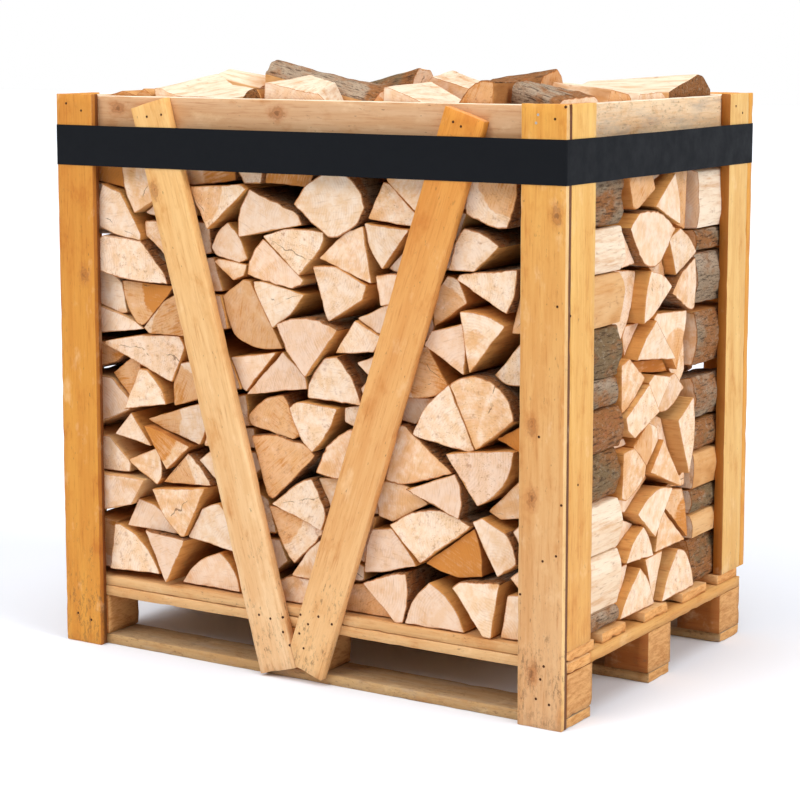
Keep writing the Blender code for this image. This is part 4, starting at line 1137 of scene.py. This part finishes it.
@dataclass
class LogRow:
    """One stacked row, rebuilt log by log on the log ends of its solid."""

    node: str
    piece: str
    axis: int
    sides: tuple[int, ...]
    tones: ToneBook
    seed: int
    breaks: int = 1
    barked: float = 0.6
    crown: float = 12 * MM
    side_bark: float = 0.5
    core_depth: float = 40 * MM
    edge_reach: float = 552 * MM
    top_height: float = 1034 * MM
    side_looks: tuple[SideLook, ...] = ()
    swells: tuple[float, float] = (1.16, 1.38)
    tight_above: float = 820 * MM
    inner: LogMaker = field(default_factory=lambda: LogMaker(
        pitch=18 * MM, inset_rings=(), depths_mm=(0.0, 30.0, 120.0)))

    def build(self, solid: bpy.types.Object, maker: LogMaker, finishes: Finishes) -> None:
        """Makes the row.

        Args:
            solid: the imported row.
            maker: shapes the logs.
            finishes: the crate's materials.
        """
        draw = np.random.default_rng(self.seed)
        heap = Heap()
        low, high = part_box(self.node)
        share = (high[self.axis] - low[self.axis]) / self.breaks
        for side in self.sides:
            caps = end_caps(solid, self.axis, side)
            outermost = max(side * cap.level for cap in caps)
            for cap in sorted(caps, key=lambda cap: tuple(cap.centre[::-1].round(3))):
                back = outermost - side * cap.level
                if back > self.core_depth:
                    continue
                top = cap.outline[:, 1].min() > self.top_height
                billet = self.billet(cap, share - back - 3 * MM, top, draw)
                maker.shape(heap, billet, Lie(self.axis, side, cap.level))
                if self.breaks > 1:
                    further = Lie(self.axis, side, cap.level - side * (billet.length + 4 * MM))
                    behind = Billet(cap.outline, share - 4 * MM, self.tones.tone(cap.centre, draw),
                                    18.0 if top else 0.0, billet.coat)
                    (maker if top else self.inner).shape(heap, behind, further)
        show_piece(heap.mesh(self.piece), finishes.logs, LOG_SHARP_DEG, "split_logs", self.node)

    def billet(self, cap: EndCap, length: float, top: bool, draw: np.random.Generator) -> Billet:
        """Plans the log on one end.

        Args:
            cap: its end on the solid.
            length: its length in metres.
            top: whether it lies in the top course, where it shows whole.
            draw: six numbers are drawn from it.

        Returns:
            The log.
        """
        long_side = self.breaks == 1 and np.abs(cap.outline[:, 0]).max() > self.edge_reach
        chance, ridge = draw.random(2)
        tone = self.tones.tone(cap.centre, draw)
        if not long_side:
            coat = Coat.NONE if chance > self.barked else Coat.ROUND
            return Billet(cap.outline, length, tone, 14.0 if top else 0.0, coat)
        coat = Coat.LONGEST if chance < self.side_bark else Coat.NONE
        look = self.look(cap)
        if look is not None:
            coat = Coat.LONGEST if look.barked else Coat.NONE
            tone = Tone(look.warmth, look.light, 0.0, tone.seed)
        warp = self.thickened(cap.centre) if cap.centre[0] < 0 else None
        outline = self.crowned(cap.outline, ridge, coat)
        return Billet(outline, length, tone, 14.0 if top else 12.0, coat, warp=warp)

    def look(self, cap: EndCap) -> SideLook | None:
        """The look of the log on the right side at this end's height, if it has one."""
        if cap.centre[0] < 0 or not self.side_looks:
            return None
        nearest = min(self.side_looks, key=lambda look: abs(look.height * CM - cap.centre[1]))
        return nearest if abs(nearest.height * CM - cap.centre[1]) < 15 * MM else None

    def thickened(self, centre: np.ndarray) -> Warp:
        """How a log grows thicker towards its hidden end, which narrows the gap to the next one."""
        growth = np.array([1.0, self.swells[centre[1] > self.tight_above]])
        return lambda points: centre + (points - centre) * growth

    def crowned(self, outline: np.ndarray, chance: float, coat: Coat) -> np.ndarray:
        """Rounds or ridges an outline's edge along the crate's side, where the log's side shows.

        Args:
            outline: the log's corners.
            chance: from 0 to 1, moves the top of the bulge.
            coat: a barked side is rounded, a riven one has a ridge.

        Returns:
            The outline with more corners.
        """
        ridge = ((0.25 + 0.5 * chance, 0.9),)
        shares = ridge if coat is Coat.NONE else ((0.22, 0.68), (0.5, 1.0), (0.78, 0.68))
        corners = []
        for start, end in zip(outline, np.roll(outline, -1, axis=0)):
            corners.append(start)
            run = end - start
            size = float(np.linalg.norm(run))
            if min(abs(start[0]), abs(end[0])) >= self.edge_reach and size >= 30 * MM:
                out = np.array([run[1], -run[0]]) / size * min(self.crown, 0.17 * size)
                corners.extend(start + run * share + out * lift for share, lift in shares)
        return np.array(corners)


@dataclass(frozen=True)
class LooseLook:
    """How one loose log lies and looks: its axis, tones, and the way that its bark faces."""

    axis: int
    warmth: float
    light: float
    facing: tuple[float, float] = (0.0, 0.0)
    barked_end: bool = False
    peeled: float = 0.0


@dataclass
class LooseLogs:
    """The loose logs on top, each a finer copy of its own tapered solid."""

    looks: tuple[LooseLook, ...]
    even_mm: float = 8.0
    seed: int = 77

    def build(self, nodes: Nodes, maker: LogMaker, finishes: Finishes) -> None:
        """Makes every loose log.

        Args:
            nodes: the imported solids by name.
            maker: shapes the logs.
            finishes: the crate's materials.
        """
        draw = np.random.default_rng(self.seed)
        for number, look in enumerate(self.looks, start=1):
            node = f"loose_log_{number:02d}"
            side = 1 if look.axis == 0 else -1
            near, far = (end_caps(nodes[node], look.axis, way)[0] for way in (side, -side))
            pink, seed = draw.random(2)
            billet = Billet(near.outline, abs(far.level - near.level),
                            Tone(look.warmth, look.light, 0.3 * pink, seed), self.even_mm,
                            facing=look.facing, warp=self.taper(near.outline, far.outline),
                            barked_end=look.barked_end, peeled=look.peeled)
            heap = Heap()
            maker.shape(heap, billet, Lie(look.axis, side, near.level))
            show_piece(heap.mesh(f"split_log_{number:02d}"), finishes.logs, LOG_SHARP_DEG,
                       "split_logs", node)

    def taper(self, near: np.ndarray, far: np.ndarray) -> Warp:
        """How a log's section changes from its near end to its far end.

        Args:
            near: the near end's corners, counter-clockwise.
            far: the far end's corners, as many and the same way round.

        Returns:
            A function that takes near points to far points.
        """
        first, last = (np.roll(ring, -int(np.lexsort((ring[:, 0], ring[:, 1].round(4)))[0]), axis=0)
                       for ring in (near, far))
        shape = np.linalg.lstsq(self.terms(first), last, rcond=None)[0]
        return lambda points: self.terms(points) @ shape

    def terms(self, points: np.ndarray) -> np.ndarray:
        """The terms of a taper: one, across, height, and their product."""
        across, height = points.T
        return np.column_stack([np.ones(len(points)), across, height, across * height])


# ---------------------------------------------------------------- sawn boards
@dataclass(frozen=True)
class Tint:
    """How one board differs from the next.

    Its colour at the top and foot, its grey weathering, how much soil its foot has, and the colours
    of the outer and inner halves of its narrow sides where they differ, which on most boards are
    painted light: a painted highlight at an arris or top edge, painted shade on a half in a gap.
    """

    top: str
    foot: str
    weather: float = 0.0
    soil: float = 0.0
    sides: tuple[str, str] | None = None

    def at(self, share: float) -> tuple[float, ...]:
        """The linear colour at a share of the board's height, from 0 at its foot to 1."""
        foot, top = linear(self.foot)[:3], linear(self.top)[:3]
        return tuple(low + (high - low) * share for low, high in zip(foot, top))


@dataclass(frozen=True)
class Plank:
    """What a board maker has to know of one board.

    Its record slot, colour, a seed for its grain, the grain's direction where it isn't the longest
    edge's, how far its arrises are worn, and the places of its own knots, in metres.
    """

    slot: str
    tint: Tint
    seed: float
    along: Vector | None = None
    wear: float = 1.3 * MM
    knots: tuple[Vector, ...] = ()


@dataclass
class BoardMaker:
    """Cuts a board's solid finely and wears it: saw waves, worn arrises and chipped ends."""

    finishes: Finishes
    pitch_along: float = 22 * MM
    pitch_across: float = 12 * MM
    saw_mm: Triple = (70.0, 10.0, 10.0)
    wave: float = 0.30 * MM
    warp_mm: Triple = (300.0, 50.0, 50.0)
    warp: float = 0.5 * MM
    nick_mm: Triple = (21.0, 20.0, 20.0)
    inset: float = 0.35 * MM
    most_out: float = 0.05 * MM
    knot_reach: float = 52 * MM
    soil_height: float = 350 * MM
    sharp_deg: float = 62.0

    def build(self, solid: bpy.types.Object, plank: Plank) -> None:
        """Makes one board.

        Args:
            solid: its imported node.
            plank: its looks.
        """
        mesh = clean_copy(solid)
        axes = self.axes(mesh, plank.along)
        self.cut(mesh, axes)
        self.roughen(mesh, axes, plank)
        self.mark(mesh, axes, plank)
        data = bpy.data.meshes.new(f"sawn_{solid.name}")
        mesh.to_mesh(data)
        mesh.free()
        show_piece(data, self.finishes.boards, self.sharp_deg, plank.slot, solid.name)

    def axes(self, mesh: bmesh.types.BMesh, along: Vector | None) -> Axes:
        """Finds the board's own directions.

        Args:
            mesh: the board with its real flat faces.
            along: the grain's direction, or None for the longest edge's.

        Returns:
            The directions along, across and through the board.
        """
        if along is None:
            longest = max(mesh.edges, key=lambda edge: edge.calc_length())
            along = (longest.verts[1].co - longest.verts[0].co).normalized()
        sides = [face for face in mesh.faces if abs(face.normal.dot(along)) < 0.5]
        through = max(sides, key=lambda face: face.calc_area()).normal.copy()
        if through.dot(Vector((1, -2, 3))) < 0:
            through.negate()
        return along, through.cross(along).normalized(), through

    def cut(self, mesh: bmesh.types.BMesh, axes: Axes) -> None:
        """Cuts the board into small cells along its own directions.

        Args:
            mesh: the board.
            axes: its directions.
        """
        for axis, pitch in zip(axes, (self.pitch_along, self.pitch_across, self.pitch_across)):
            reach = [vert.co.dot(axis) for vert in mesh.verts]
            low, high = min(reach), max(reach)
            cells = max(1, round((high - low) / pitch))
            for step in range(1, cells):
                everything = mesh.verts[:] + mesh.edges[:] + mesh.faces[:]
                place = axis * (low + (high - low) * step / cells)
                bmesh.ops.bisect_plane(mesh, geom=everything, dist=0.01 * MM, plane_co=place,
                                       plane_no=axis)

    def roughen(self, mesh: bmesh.types.BMesh, axes: Axes, plank: Plank) -> None:
        """Moves the surface in and out, and wears its edges.

        Args:
            mesh: the finely cut board.
            axes: its directions.
            plank: its looks.
        """
        mesh.normal_update()
        arris = {vert for edge in mesh.edges if edge.calc_face_angle(0.0) > math.radians(30)
                 for vert in edge.verts}
        moves = []
        for vert in mesh.verts:
            place = [vert.co.dot(axis) for axis in axes]
            saw = self.bumps(place, self.saw_mm, (plank.seed * 9.1, 0.0, 0.0))
            wide = self.bumps(place, self.warp_mm, (0.0, plank.seed * 4.7, 0.0))
            push = saw * self.wave + wide * self.warp - self.inset
            if vert in arris:
                nick = self.bumps(place, self.nick_mm, (0.0, 0.0, plank.seed * 3.3))
                push -= plank.wear * max(0.0, nick + 0.1) ** 2 * 2.2
            moves.append(vert.normal * min(push, self.most_out))
        for vert, move in zip(mesh.verts, moves):
            vert.co += move

    def bumps(self, place: list[float], sizes_mm: Triple, shift: Triple) -> float:
        """Smooth noise from -1 to 1 at a place, in bumps of these sizes along the board's axes."""
        return noise.noise(Vector([along / (size * MM) + move
                                   for along, size, move in zip(place, sizes_mm, shift)]))

    def mark(self, mesh: bmesh.types.BMesh, axes: Axes, plank: Plank) -> None:
        """Stores the wood's coordinates, colour and knots, and gives the sawn ends their own slot.

        Args:
            mesh: the worn board.
            axes: its directions.
            plank: its looks.
        """
        tint, layers = plank.tint, mesh.verts.layers
        grain, offset = layers.float_vector.new("grain"), layers.float_vector.new("knot")
        weather, soil = layers.float.new("weather"), layers.float.new("soil")
        tone = mesh.loops.layers.float_color.new("tone")
        middle = sum((vert.co for vert in mesh.verts), Vector()) / len(mesh.verts)
        foot = min(vert.co.z for vert in mesh.verts)
        rise = max(vert.co.z for vert in mesh.verts) - foot
        for vert in mesh.verts:
            vert[grain] = Vector([(vert.co - middle).dot(axis) for axis in axes])
            vert[weather] = tint.weather
            vert[soil] = tint.soil * max(0.15, 1.0 - vert.co.z / self.soil_height)
            vert[offset] = (0.0, 0.0, 1.0)
            for knot in plank.knots:
                away = vert.co - knot
                if away.length < self.knot_reach:
                    vert[offset] = (away.dot(axes[0]), away.dot(axes[1]), 0.0)
        for face in mesh.faces:
            face.material_index = int(abs(face.normal.dot(axes[0])) > 0.85)
            inner = (face.calc_center_median() - middle).dot(axes[2]) < 0
            # Narrow sides given their own colours carry painted light on most boards: highlight on
            # an outer half, shade on an inner half.
            narrow = tint.sides is not None and abs(face.normal.dot(axes[1])) > 0.7
            for loop in face.loops:
                own = tint.at((loop.vert.co.z - foot) / rise)
                loop[tone] = (*(linear(tint.sides[inner])[:3] if narrow else own), plank.seed % 1.0)


def named(nodes: Nodes, prefix: str) -> list[tuple[int, bpy.types.Object]]:
    """The solids whose names start like this, in order and numbered from 1."""
    names = sorted(name for name in nodes if name.startswith(prefix))
    return [(number, nodes[name]) for number, name in enumerate(names, start=1)]


@dataclass
class PalletBase:
    """Runners, blocks, stringers, the front edge board and the deck."""

    deck: Tint = Tint("#DDB07B", "#D5AA74", 0.14, 0.4)
    edge: Tint = Tint("#DDB07B", "#D5AA74", 0.12, 0.4)
    # The blocks' colour is partly their own darker pine and partly painted shade, for the shade
    # under the deck.
    blocks: Tint = Tint("#9A5A1C", "#8A4E16", 0.04, 0.5, ("#A05F24", "#A05F24"))
    runners: Tint = Tint("#B09470", "#A88A65", 0.34, 0.6, ("#BC9868", "#BC9868"))
    stringers: Tint = Tint("#DFAA66", "#D39A52", 0.06, 0.3)

    def build(self, nodes: Nodes, maker: BoardMaker) -> None:
        """Makes the pallet.

        Args:
            nodes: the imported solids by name.
            maker: makes each board.
        """
        for prefix, slot, tint, along, wear in (
            ("runner_", "pallet_boards", self.runners, None, 1.6 * MM),
            ("block_", "pallet_blocks", self.blocks, Vector((1, 0, 0)), 1.6 * MM),
            ("stringer_", "pallet_boards", self.stringers, None, 1.4 * MM),
            ("front_edge_board", "pallet_boards", self.edge, None, 2.0 * MM),
            ("deck_board_", "pallet_boards", self.deck, None, 3.0 * MM),
        ):
            for number, solid in named(nodes, prefix):
                seed = 0.137 * number + 0.061 * len(prefix)
                maker.build(solid, Plank(slot, tint, seed, along, wear))


@dataclass
class Crate:
    """Corner posts, rails and V braces, each board with its own colour and knots."""

    post: Tint = Tint("#DE9E45", "#DC9A42", 0.02, 0.7)
    rail: Tint = Tint("#D7AC82", "#D4A87D", 0.05, 0.8, PAINTED_HIGHLIGHT_SIDES)
    brace: Tint = Tint("#E2A143", "#E8B76D", 0.02, 0.7)
    own: dict[str, Tint] = field(default_factory=lambda: {
        # The narrow-side colours below are painted light: painted shade on the inner halves that
        # face into the gaps and on the back right side plank's edge, and a pale painted highlight on
        # the front right face's outer half.
        "post_front_right_face": Tint("#E3A448", "#D6AA7C", 0.08, 1.0, ("#EBC488", "#70421A")),
        "post_front_right_side": Tint("#EEC070", "#DCA257", 0.04, 0.4),
        "post_front_left_face": Tint("#D6913A", "#D8963A", 0.04, 0.9, ("#B9772E", "#7A4517")),
        "post_back_right_side": Tint("#E9C07A", "#E3B56D", 0.02, 0.4, ("#A5651F", "#A5651F")),
        "brace_front_left": Tint("#EEBD76", "#E8C295", 0.04, 0.7),
        "brace_front_right": Tint("#DE9336", "#E7BC86", 0.04, 0.8),
        "rail_right": Tint("#EECFA8", "#EACAA2", 0.36, 1.8, PAINTED_HIGHLIGHT_SIDES),
    })
    knots_cm: dict[str, Places] = field(default_factory=lambda: {
        "post_front_right_face": ((53.6, 10.5), (53.2, 57.3), (53.3, 43.6), (58.0, 96.5)),
        "brace_front_left": ((-34.4, 97.5),),
        "rail_front": ((-45.4, 113.7), (-5.4, 113.5)),
        "post_front_left_face": ((-53.4, 79.0),),
    })

    def build(self, nodes: Nodes, maker: BoardMaker) -> None:
        """Makes the crate's boards.

        Args:
            nodes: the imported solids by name.
            maker: makes each board.
        """
        for prefix, slot, tint in (
            ("post_", "post_planks", self.post),
            ("rail_", "rail_boards", self.rail),
            ("brace_", "post_planks", self.brace),
        ):
            for number, solid in named(nodes, prefix):
                node = solid.name
                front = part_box(node)[0].y
                knots = tuple(Vector((across * CM, front, height * CM))
                              for across, height in self.knots_cm.get(node, ()))
                seed = 0.211 * number + 0.083 * len(prefix)
                maker.build(solid, Plank(slot, self.own.get(node, tint), seed, knots=knots))


# ---------------------------------------------------------------- band and fasteners
@dataclass
class FilmBand:
    """The band of dark film: a thin closed sleeve pulled tight round the posts."""

    node: str = "band"
    pitch: float = 12 * MM
    rows: int = 9
    film: float = 0.5 * MM
    slack: float = 0.9 * MM
    play: float = 0.4 * MM
    corner: float = 2.5 * MM
    corner_steps: int = 6
    sharp_deg: float = 50.0

    def build(self, finishes: Finishes) -> None:
        """Makes the band, from its outer top edge down and up again inside."""
        low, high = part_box(self.node)
        path, normals = self.path(np.array([high.x, high.y]) - self.play - self.corner)
        heights = np.linspace(high.z, low.z, self.rows)
        rings = []
        for height, skin in [(z, 0.0) for z in heights] + [(z, -self.film) for z in heights[::-1]]:
            flat = np.column_stack([path, np.full(len(path), height)])
            ripple = np.clip(wobble(flat, (95.0, 95.0, 60.0), 3.0), -0.2, 1.0) * self.slack
            lip = 0.25 * MM * wobble(flat, (22.0, 22.0, 12.0), 9.0)
            flat[:, :2] += normals * (ripple + lip + skin)[:, None]
            flat[:, 2] += wobble(flat, (140.0, 140.0, FLAT_MM), 6.0) * 0.6 * MM
            rings.append(flat)
        mesh = bpy.data.meshes.new("film_band")
        mesh.from_pydata(np.concatenate(rings), [], tube_faces(len(path), len(rings), closed=True))
        show_piece(mesh, (finishes.film,), self.sharp_deg, "band_film", self.node)

    def path(self, half: np.ndarray) -> tuple[np.ndarray, np.ndarray]:
        """A rounded rectangle, counter-clockwise.

        Args:
            half: how far the centres of its corners are from the middle, in x and y.

        Returns:
            Its points, and the outward normal at each.
        """
        points, normals = [], []
        centres = [half * sign for sign in ((1, -1), (1, 1), (-1, 1), (-1, -1))]
        for number, centre in enumerate(centres):
            for step in range(self.corner_steps + 1):
                angle = (number - 1 + step / self.corner_steps) * math.pi / 2
                normals.append(np.array([math.cos(angle), math.sin(angle)]))
                points.append(centre + normals[-1] * self.corner)
            run = centres[(number + 1) % 4] - centre
            steps = round(np.linalg.norm(run) / self.pitch)
            points.extend([points[-1] + run * step / steps for step in range(1, steps)])
            normals.extend([normals[-1]] * (steps - 1))
        return np.array(points), np.array(normals)


@dataclass
class Fasteners:
    """Nail heads as one joined piece, and two screws; places are in centimetres."""

    radius: float = 3.3 * MM
    rise: float = 0.5 * MM
    sunk: float = 0.9 * MM
    feet: Places = (
        (-9.2, 12.6), (-6.4, 12.2), (-3.4, 12.9), (-3.3, 9.9), (1.0, 14.1), (0.7, 10.2),
        (2.8, 12.4), (5.3, 14.3), (8.5, 13.2), (-1.7, 7.4), (1.7, 7.3))
    heads: Places = ((-36.1, 112.2), (-32.4, 112.7), (36.1, 112.8), (37.8, 112.0))
    front_right: Places = (
        (58.5, 33.4), (55.7, 32.1), (51.0, 25.2), (56.1, 12.1), (55.4, 9.5), (57.3, 4.9),
        (54.5, 5.6), (58.3, 79.8), (54.7, 55.4), (59.5, 43.1), (57.5, 113.8), (59.6, 116.0))
    right_side: Places = ((-39.6, 78.0), (-36.0, 46.0))
    screws: Places = ((54.0, 114.5), (53.6, 113.0))
    # On the other posts: the share of the width, and how far under the top, or up at the foot.
    face_heads: Places = ((0.28, 2.0), (0.70, 3.4), (0.30, 9.8), (0.74, 9.2))
    side_heads: Places = ((0.30, 2.6), (0.66, 4.1), (0.35, 9.4), (0.70, 8.8))
    foot_heads: dict[str, Places] = field(
        default_factory=lambda: {"post_front_left_face": ((0.34, 6.2), (0.72, 5.2))})
    # The axis and the way that each of them looks.
    other_posts: dict[str, tuple[int, int]] = field(default_factory=lambda: {
        "post_front_left_face": (1, -1), "post_back_left_face": (1, 1),
        "post_back_right_face": (1, 1), "post_back_right_side": (0, 1),
        "post_front_left_side": (0, -1), "post_back_left_side": (0, -1)})

    def build(self, finishes: Finishes) -> None:
        """Makes the nails and screws."""
        spots = self.post_spots()
        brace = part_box("brace_front_left")[0].y
        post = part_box("post_front_right_face")[0].y
        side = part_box("post_front_right_side")[1].x
        for places, face in ((self.feet, brace), (self.heads, brace), (self.front_right, post)):
            spots += self.front_spots(places, face)
        spots += [(Vector((side, y * CM, z * CM)), Vector((1, 0, 0))) for y, z in self.right_side]
        self.piece("nail_heads", spots, finishes.nail)
        self.piece("screw_heads", self.front_spots(self.screws, post), finishes.screw)

    def front_spots(self, places: Places, face: float) -> Spots:
        """Places on a board's front, each with the way that it looks."""
        return [(Vector((x * CM, face, z * CM)), Vector((0, -1, 0))) for x, z in places]

    def post_spots(self) -> Spots:
        """Nails at the top and foot of the other posts, each with the way that it looks."""
        spots = []
        for name, (axis, way) in self.other_posts.items():
            low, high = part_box(name)
            heads = self.face_heads if axis == 1 else self.side_heads
            heights = [(share, high.z - down * CM) for share, down in heads]
            heights += [(share, up * CM) for share, up in self.foot_heads.get(name, ())]
            out = Vector((0, 0, 0))
            out[axis] = way
            for share, height in heights:
                place = low.lerp(high, share)
                place[axis] = high[axis] if way > 0 else low[axis]
                place.z = height
                spots.append((place, out))
        return spots

    def piece(self, name: str, spots: Spots, material: bpy.types.Material) -> None:
        """Makes one piece of domed heads, sunk a little in the wood.

        Args:
            name: the piece's name.
            spots: the place of each head and the way that it looks.
            material: its metal.
        """
        mesh = bmesh.new()
        for place, out in spots:
            turn = out.to_track_quat("Z", "Y").to_matrix().to_4x4()
            bmesh.ops.create_cone(mesh, cap_ends=True, segments=14, radius1=self.radius,
                                  radius2=self.radius * 0.72, depth=2 * (self.rise + 0.5 * MM),
                                  matrix=Matrix.Translation(place - out * self.sunk) @ turn)
        data = bpy.data.meshes.new(name)
        mesh.to_mesh(data)
        mesh.free()
        show_piece(data, (material,), 0.0, "post_planks")


# ---------------------------------------------------------------- studio
@dataclass
class Studio:
    """A white sweep under soft light, and the camera a little above the deck at the front right."""

    camera_place: Triple = (2.4770, -3.9517, 1.3045)
    camera_pitch_deg: float = 82.445
    camera_turn_deg: float = 32.149
    lens_mm: float = 99.84
    shift: tuple[float, float] = (-0.0056, -0.10)
    floor_size: float = 60.0
    floor_colour: str = "#EFF3FB"
    sky_light: float = 0.30
    # Each light's name, the way to it, how wide it looks in degrees, and its strength.
    lights: tuple[tuple[str, Triple, float, float], ...] = (
        ("key", (-0.38, -0.90, 0.90), 30.0, 1.19),
        ("front", (0.50, -0.85, 0.75), 30.0, 0.26),
        ("fill", (1.0, -0.05, 0.64), 38.0, 1.58),
        ("top", (0.0, -0.12, 1.0), 50.0, 1.6),
    )

    def build(self) -> None:
        """Makes the floor, lights, sky and camera."""
        scene = bpy.context.scene
        scene.view_settings.view_transform = "Standard"
        scene.view_settings.look = "None"
        self.floor()
        self.sky(scene)
        for name, away, width_deg, power in self.lights:
            lamp = bpy.data.lights.new(name, "SUN")
            lamp.angle = math.radians(width_deg)
            lamp.energy = power
            holder = bpy.data.objects.new(name, lamp)
            holder.rotation_euler = (-Vector(away)).to_track_quat("-Z", "Y").to_euler()
            scene.collection.objects.link(holder)
        self.camera(scene)

    def floor(self) -> None:
        """A plain white floor."""
        bpy.ops.mesh.primitive_plane_add(size=self.floor_size)
        plane = bpy.context.object
        plane.name = "studio_floor"
        material = bpy.data.materials.new("white_sweep")
        material.use_nodes = True
        shader = material.node_tree.nodes["Principled BSDF"]
        shader.inputs["Base Color"].default_value = linear(self.floor_colour)
        shader.inputs["Roughness"].default_value = 0.7
        plane.data.materials.append(material)

    def sky(self, scene: bpy.types.Scene) -> None:
        """A white backdrop whose own light comes mostly from above, so that gaps stay deep."""
        world = bpy.data.worlds.new("white_studio")
        world.use_nodes = True
        tree = world.node_tree
        seen = add_node(tree, "LightPath").outputs["Is Camera Ray"]
        direction = add_node(tree, "TexCoord").outputs["Generated"]
        upward = add_node(tree, "SeparateXYZ", inputs={0: direction}).outputs[2]
        glow = add_node(tree, "MapRange", inputs={
            "Value": upward, "From Max": 0.7, "To Min": 0.3 * self.sky_light,
            "To Max": 1.3 * self.sky_light}).outputs[0]
        strength = add_node(tree, "MapRange", inputs={"Value": seen, "To Min": glow, "To Max": 1.0})
        background = tree.nodes["Background"]
        background.inputs["Color"].default_value = (1.0, 1.0, 1.0, 1.0)
        tree.links.new(strength.outputs[0], background.inputs["Strength"])
        scene.world = world

    def camera(self, scene: bpy.types.Scene) -> None:
        """Adds the camera and makes it the scene's own."""
        data = bpy.data.cameras.new("camera")
        data.lens = self.lens_mm
        data.shift_x, data.shift_y = self.shift
        holder = bpy.data.objects.new("camera", data)
        holder.location = self.camera_place
        pitch, turn = math.radians(self.camera_pitch_deg), math.radians(self.camera_turn_deg)
        holder.rotation_euler = (pitch, 0.0, turn)
        scene.collection.objects.link(holder)
        scene.camera = holder


# ---------------------------------------------------------------- the crate's own logs
LONG_TONES = ToneBook(
    heartwood=((96, 29), (19, 73), (25, 45), (8, 101), (36, 101), (57, 101)),
    tan=((72, 18), (6, 22), (57, 30), (32, 39), (55, 45), (52, 53), (15, 58), (86, 63), (93, 80),
         (103, 98), (8, 62)),
    golden=((28, 30), (21, 40), (42, 82), (24, 88), (42, 97), (81, 96), (18, 99), (85, 100),
            (102, 61), (100, 74), (80, 40), (85, 48)),
    aged=((30, 49), (30, 58), (26, 71), (46, 72)),
    pinkish=((91, 20), (92, 42), (59, 70), (94, 70), (55, 61), (81, 20), (103, 48), (24, 23),
             (21, 29), (79, 29)),
    white=((20, 55), (16, 82), (92, 55), (15, 22), (60, 88)),
    origin=-600 * MM,
)
CROSS_TONES = ToneBook(
    heartwood=((41, 63), (51, 33)),
    tan=((53, 97), (32, 99), (48, 70), (39, 48)),
    golden=((32, 38), (45, 42), (31, 43), (55, 38), (48, 46), (29, 61), (44, 84), (47, 28)),
    white=((41, 22), (28, 32), (55, 48), (37, 78), (28, 22), (41, 59), (35, 28), (39, 36),
           (32, 54), (33, 19), (51, 19)),
    origin=-395 * MM,
)
PLAIN_TONES = ToneBook()
FRONT_SIDE_LOOKS = (
    SideLook(98.1, True, 0.5, 0.9), SideLook(88.1, False, 0.0, 1.7),
    SideLook(78.7, False, 0.25, 0.8), SideLook(68.8, True, 0.0, 0.2),
    SideLook(60.6, True, 0.3, 1.0), SideLook(53.8, True, 1.2, 1.0),
    SideLook(43.6, True, 0.3, 0.3), SideLook(35.9, False, 0.0, 1.6),
    SideLook(24.6, False, 0.0, 1.6), SideLook(16.5, True, 0.3, 1.0),
)
BACK_SIDE_LOOKS = (
    SideLook(94.9, False, 0.0, 1.65), SideLook(86.7, True, 0.4, 0.7),
    SideLook(78.9, True, 0.0, 1.0), SideLook(66.3, True, 0.7, 0.9),
    SideLook(53.7, True, 0.4, 1.0), SideLook(46.1, True, 0.9, 0.4),
    SideLook(38.9, False, 0.55, 0.6), SideLook(32.4, True, 0.3, 0.2),
    SideLook(27.0, False, 0.2, 0.8), SideLook(20.3, True, 0.6, 0.4),
)
LOOSE_LOOKS = (
    LooseLook(1, 0.60, 0.5),
    LooseLook(1, 0.0, 1.0),
    LooseLook(1, 0.50, 0.4, (-0.3, 1.0), barked_end=True),
    LooseLook(1, 0.05, 1.0),
    LooseLook(1, 0.05, 1.0),
    LooseLook(1, 1.05, 0.7, (-0.5, 0.9)),
    LooseLook(0, 0.30, 1.0, (-0.5, 0.87)),
    LooseLook(0, 0.45, 1.0, (0.0, 1.0), peeled=0.72),
    LooseLook(0, 0.40, 0.4, (-0.9, 0.45)),
    LooseLook(1, 0.30, 1.0),
    LooseLook(0, 0.25, 1.0),
    LooseLook(0, 1.00, 0.7, (-0.6, 0.8)),
    LooseLook(0, 0.45, 1.0),
    LooseLook(0, 0.05, 1.0),
    LooseLook(0, 0.10, 1.0, barked_end=True),
    LooseLook(1, 0.20, 1.0, (-0.7, 0.7)),
    LooseLook(1, 0.10, 0.9, (0.0, 1.0)),
    LooseLook(1, 0.50, 0.6, (0.5, 0.8)),
    LooseLook(1, 0.10, 0.9, (0.5, 0.87)),
)


def main() -> None:
    """Builds the crate piece by piece, then the studio."""
    logging.basicConfig(level=logging.INFO, format="%(name)s %(message)s")
    for existing in list(bpy.data.objects):
        bpy.data.objects.remove(existing, do_unlink=True)
    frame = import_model()
    nodes = frame["nodes"]
    finishes = Finishes()
    boards = BoardMaker(finishes)
    PalletBase().build(nodes, boards)
    Crate().build(nodes, boards)
    stacked = LogMaker()
    rows = (
        LogRow("logs_front_row", "firewood_front_row", 1, (-1,), LONG_TONES, seed=11, barked=0.35,
               side_looks=FRONT_SIDE_LOOKS),
        LogRow("logs_back_row", "firewood_back_row", 1, (1,), PLAIN_TONES, seed=23, side_bark=0.75,
               crown=5 * MM, side_looks=BACK_SIDE_LOOKS),
        LogRow("logs_middle_row", "firewood_middle_row", 0, (1, -1), CROSS_TONES, seed=5, breaks=4,
               barked=0.3),
    )
    for row in rows:
        row.build(nodes[row.node], stacked, finishes)
    LooseLogs(LOOSE_LOOKS).build(nodes, LogMaker(pitch=6 * MM), finishes)
    FilmBand().build(finishes)
    Fasteners().build(finishes)
    Studio().build()


if __name__ == "__main__":
    main()
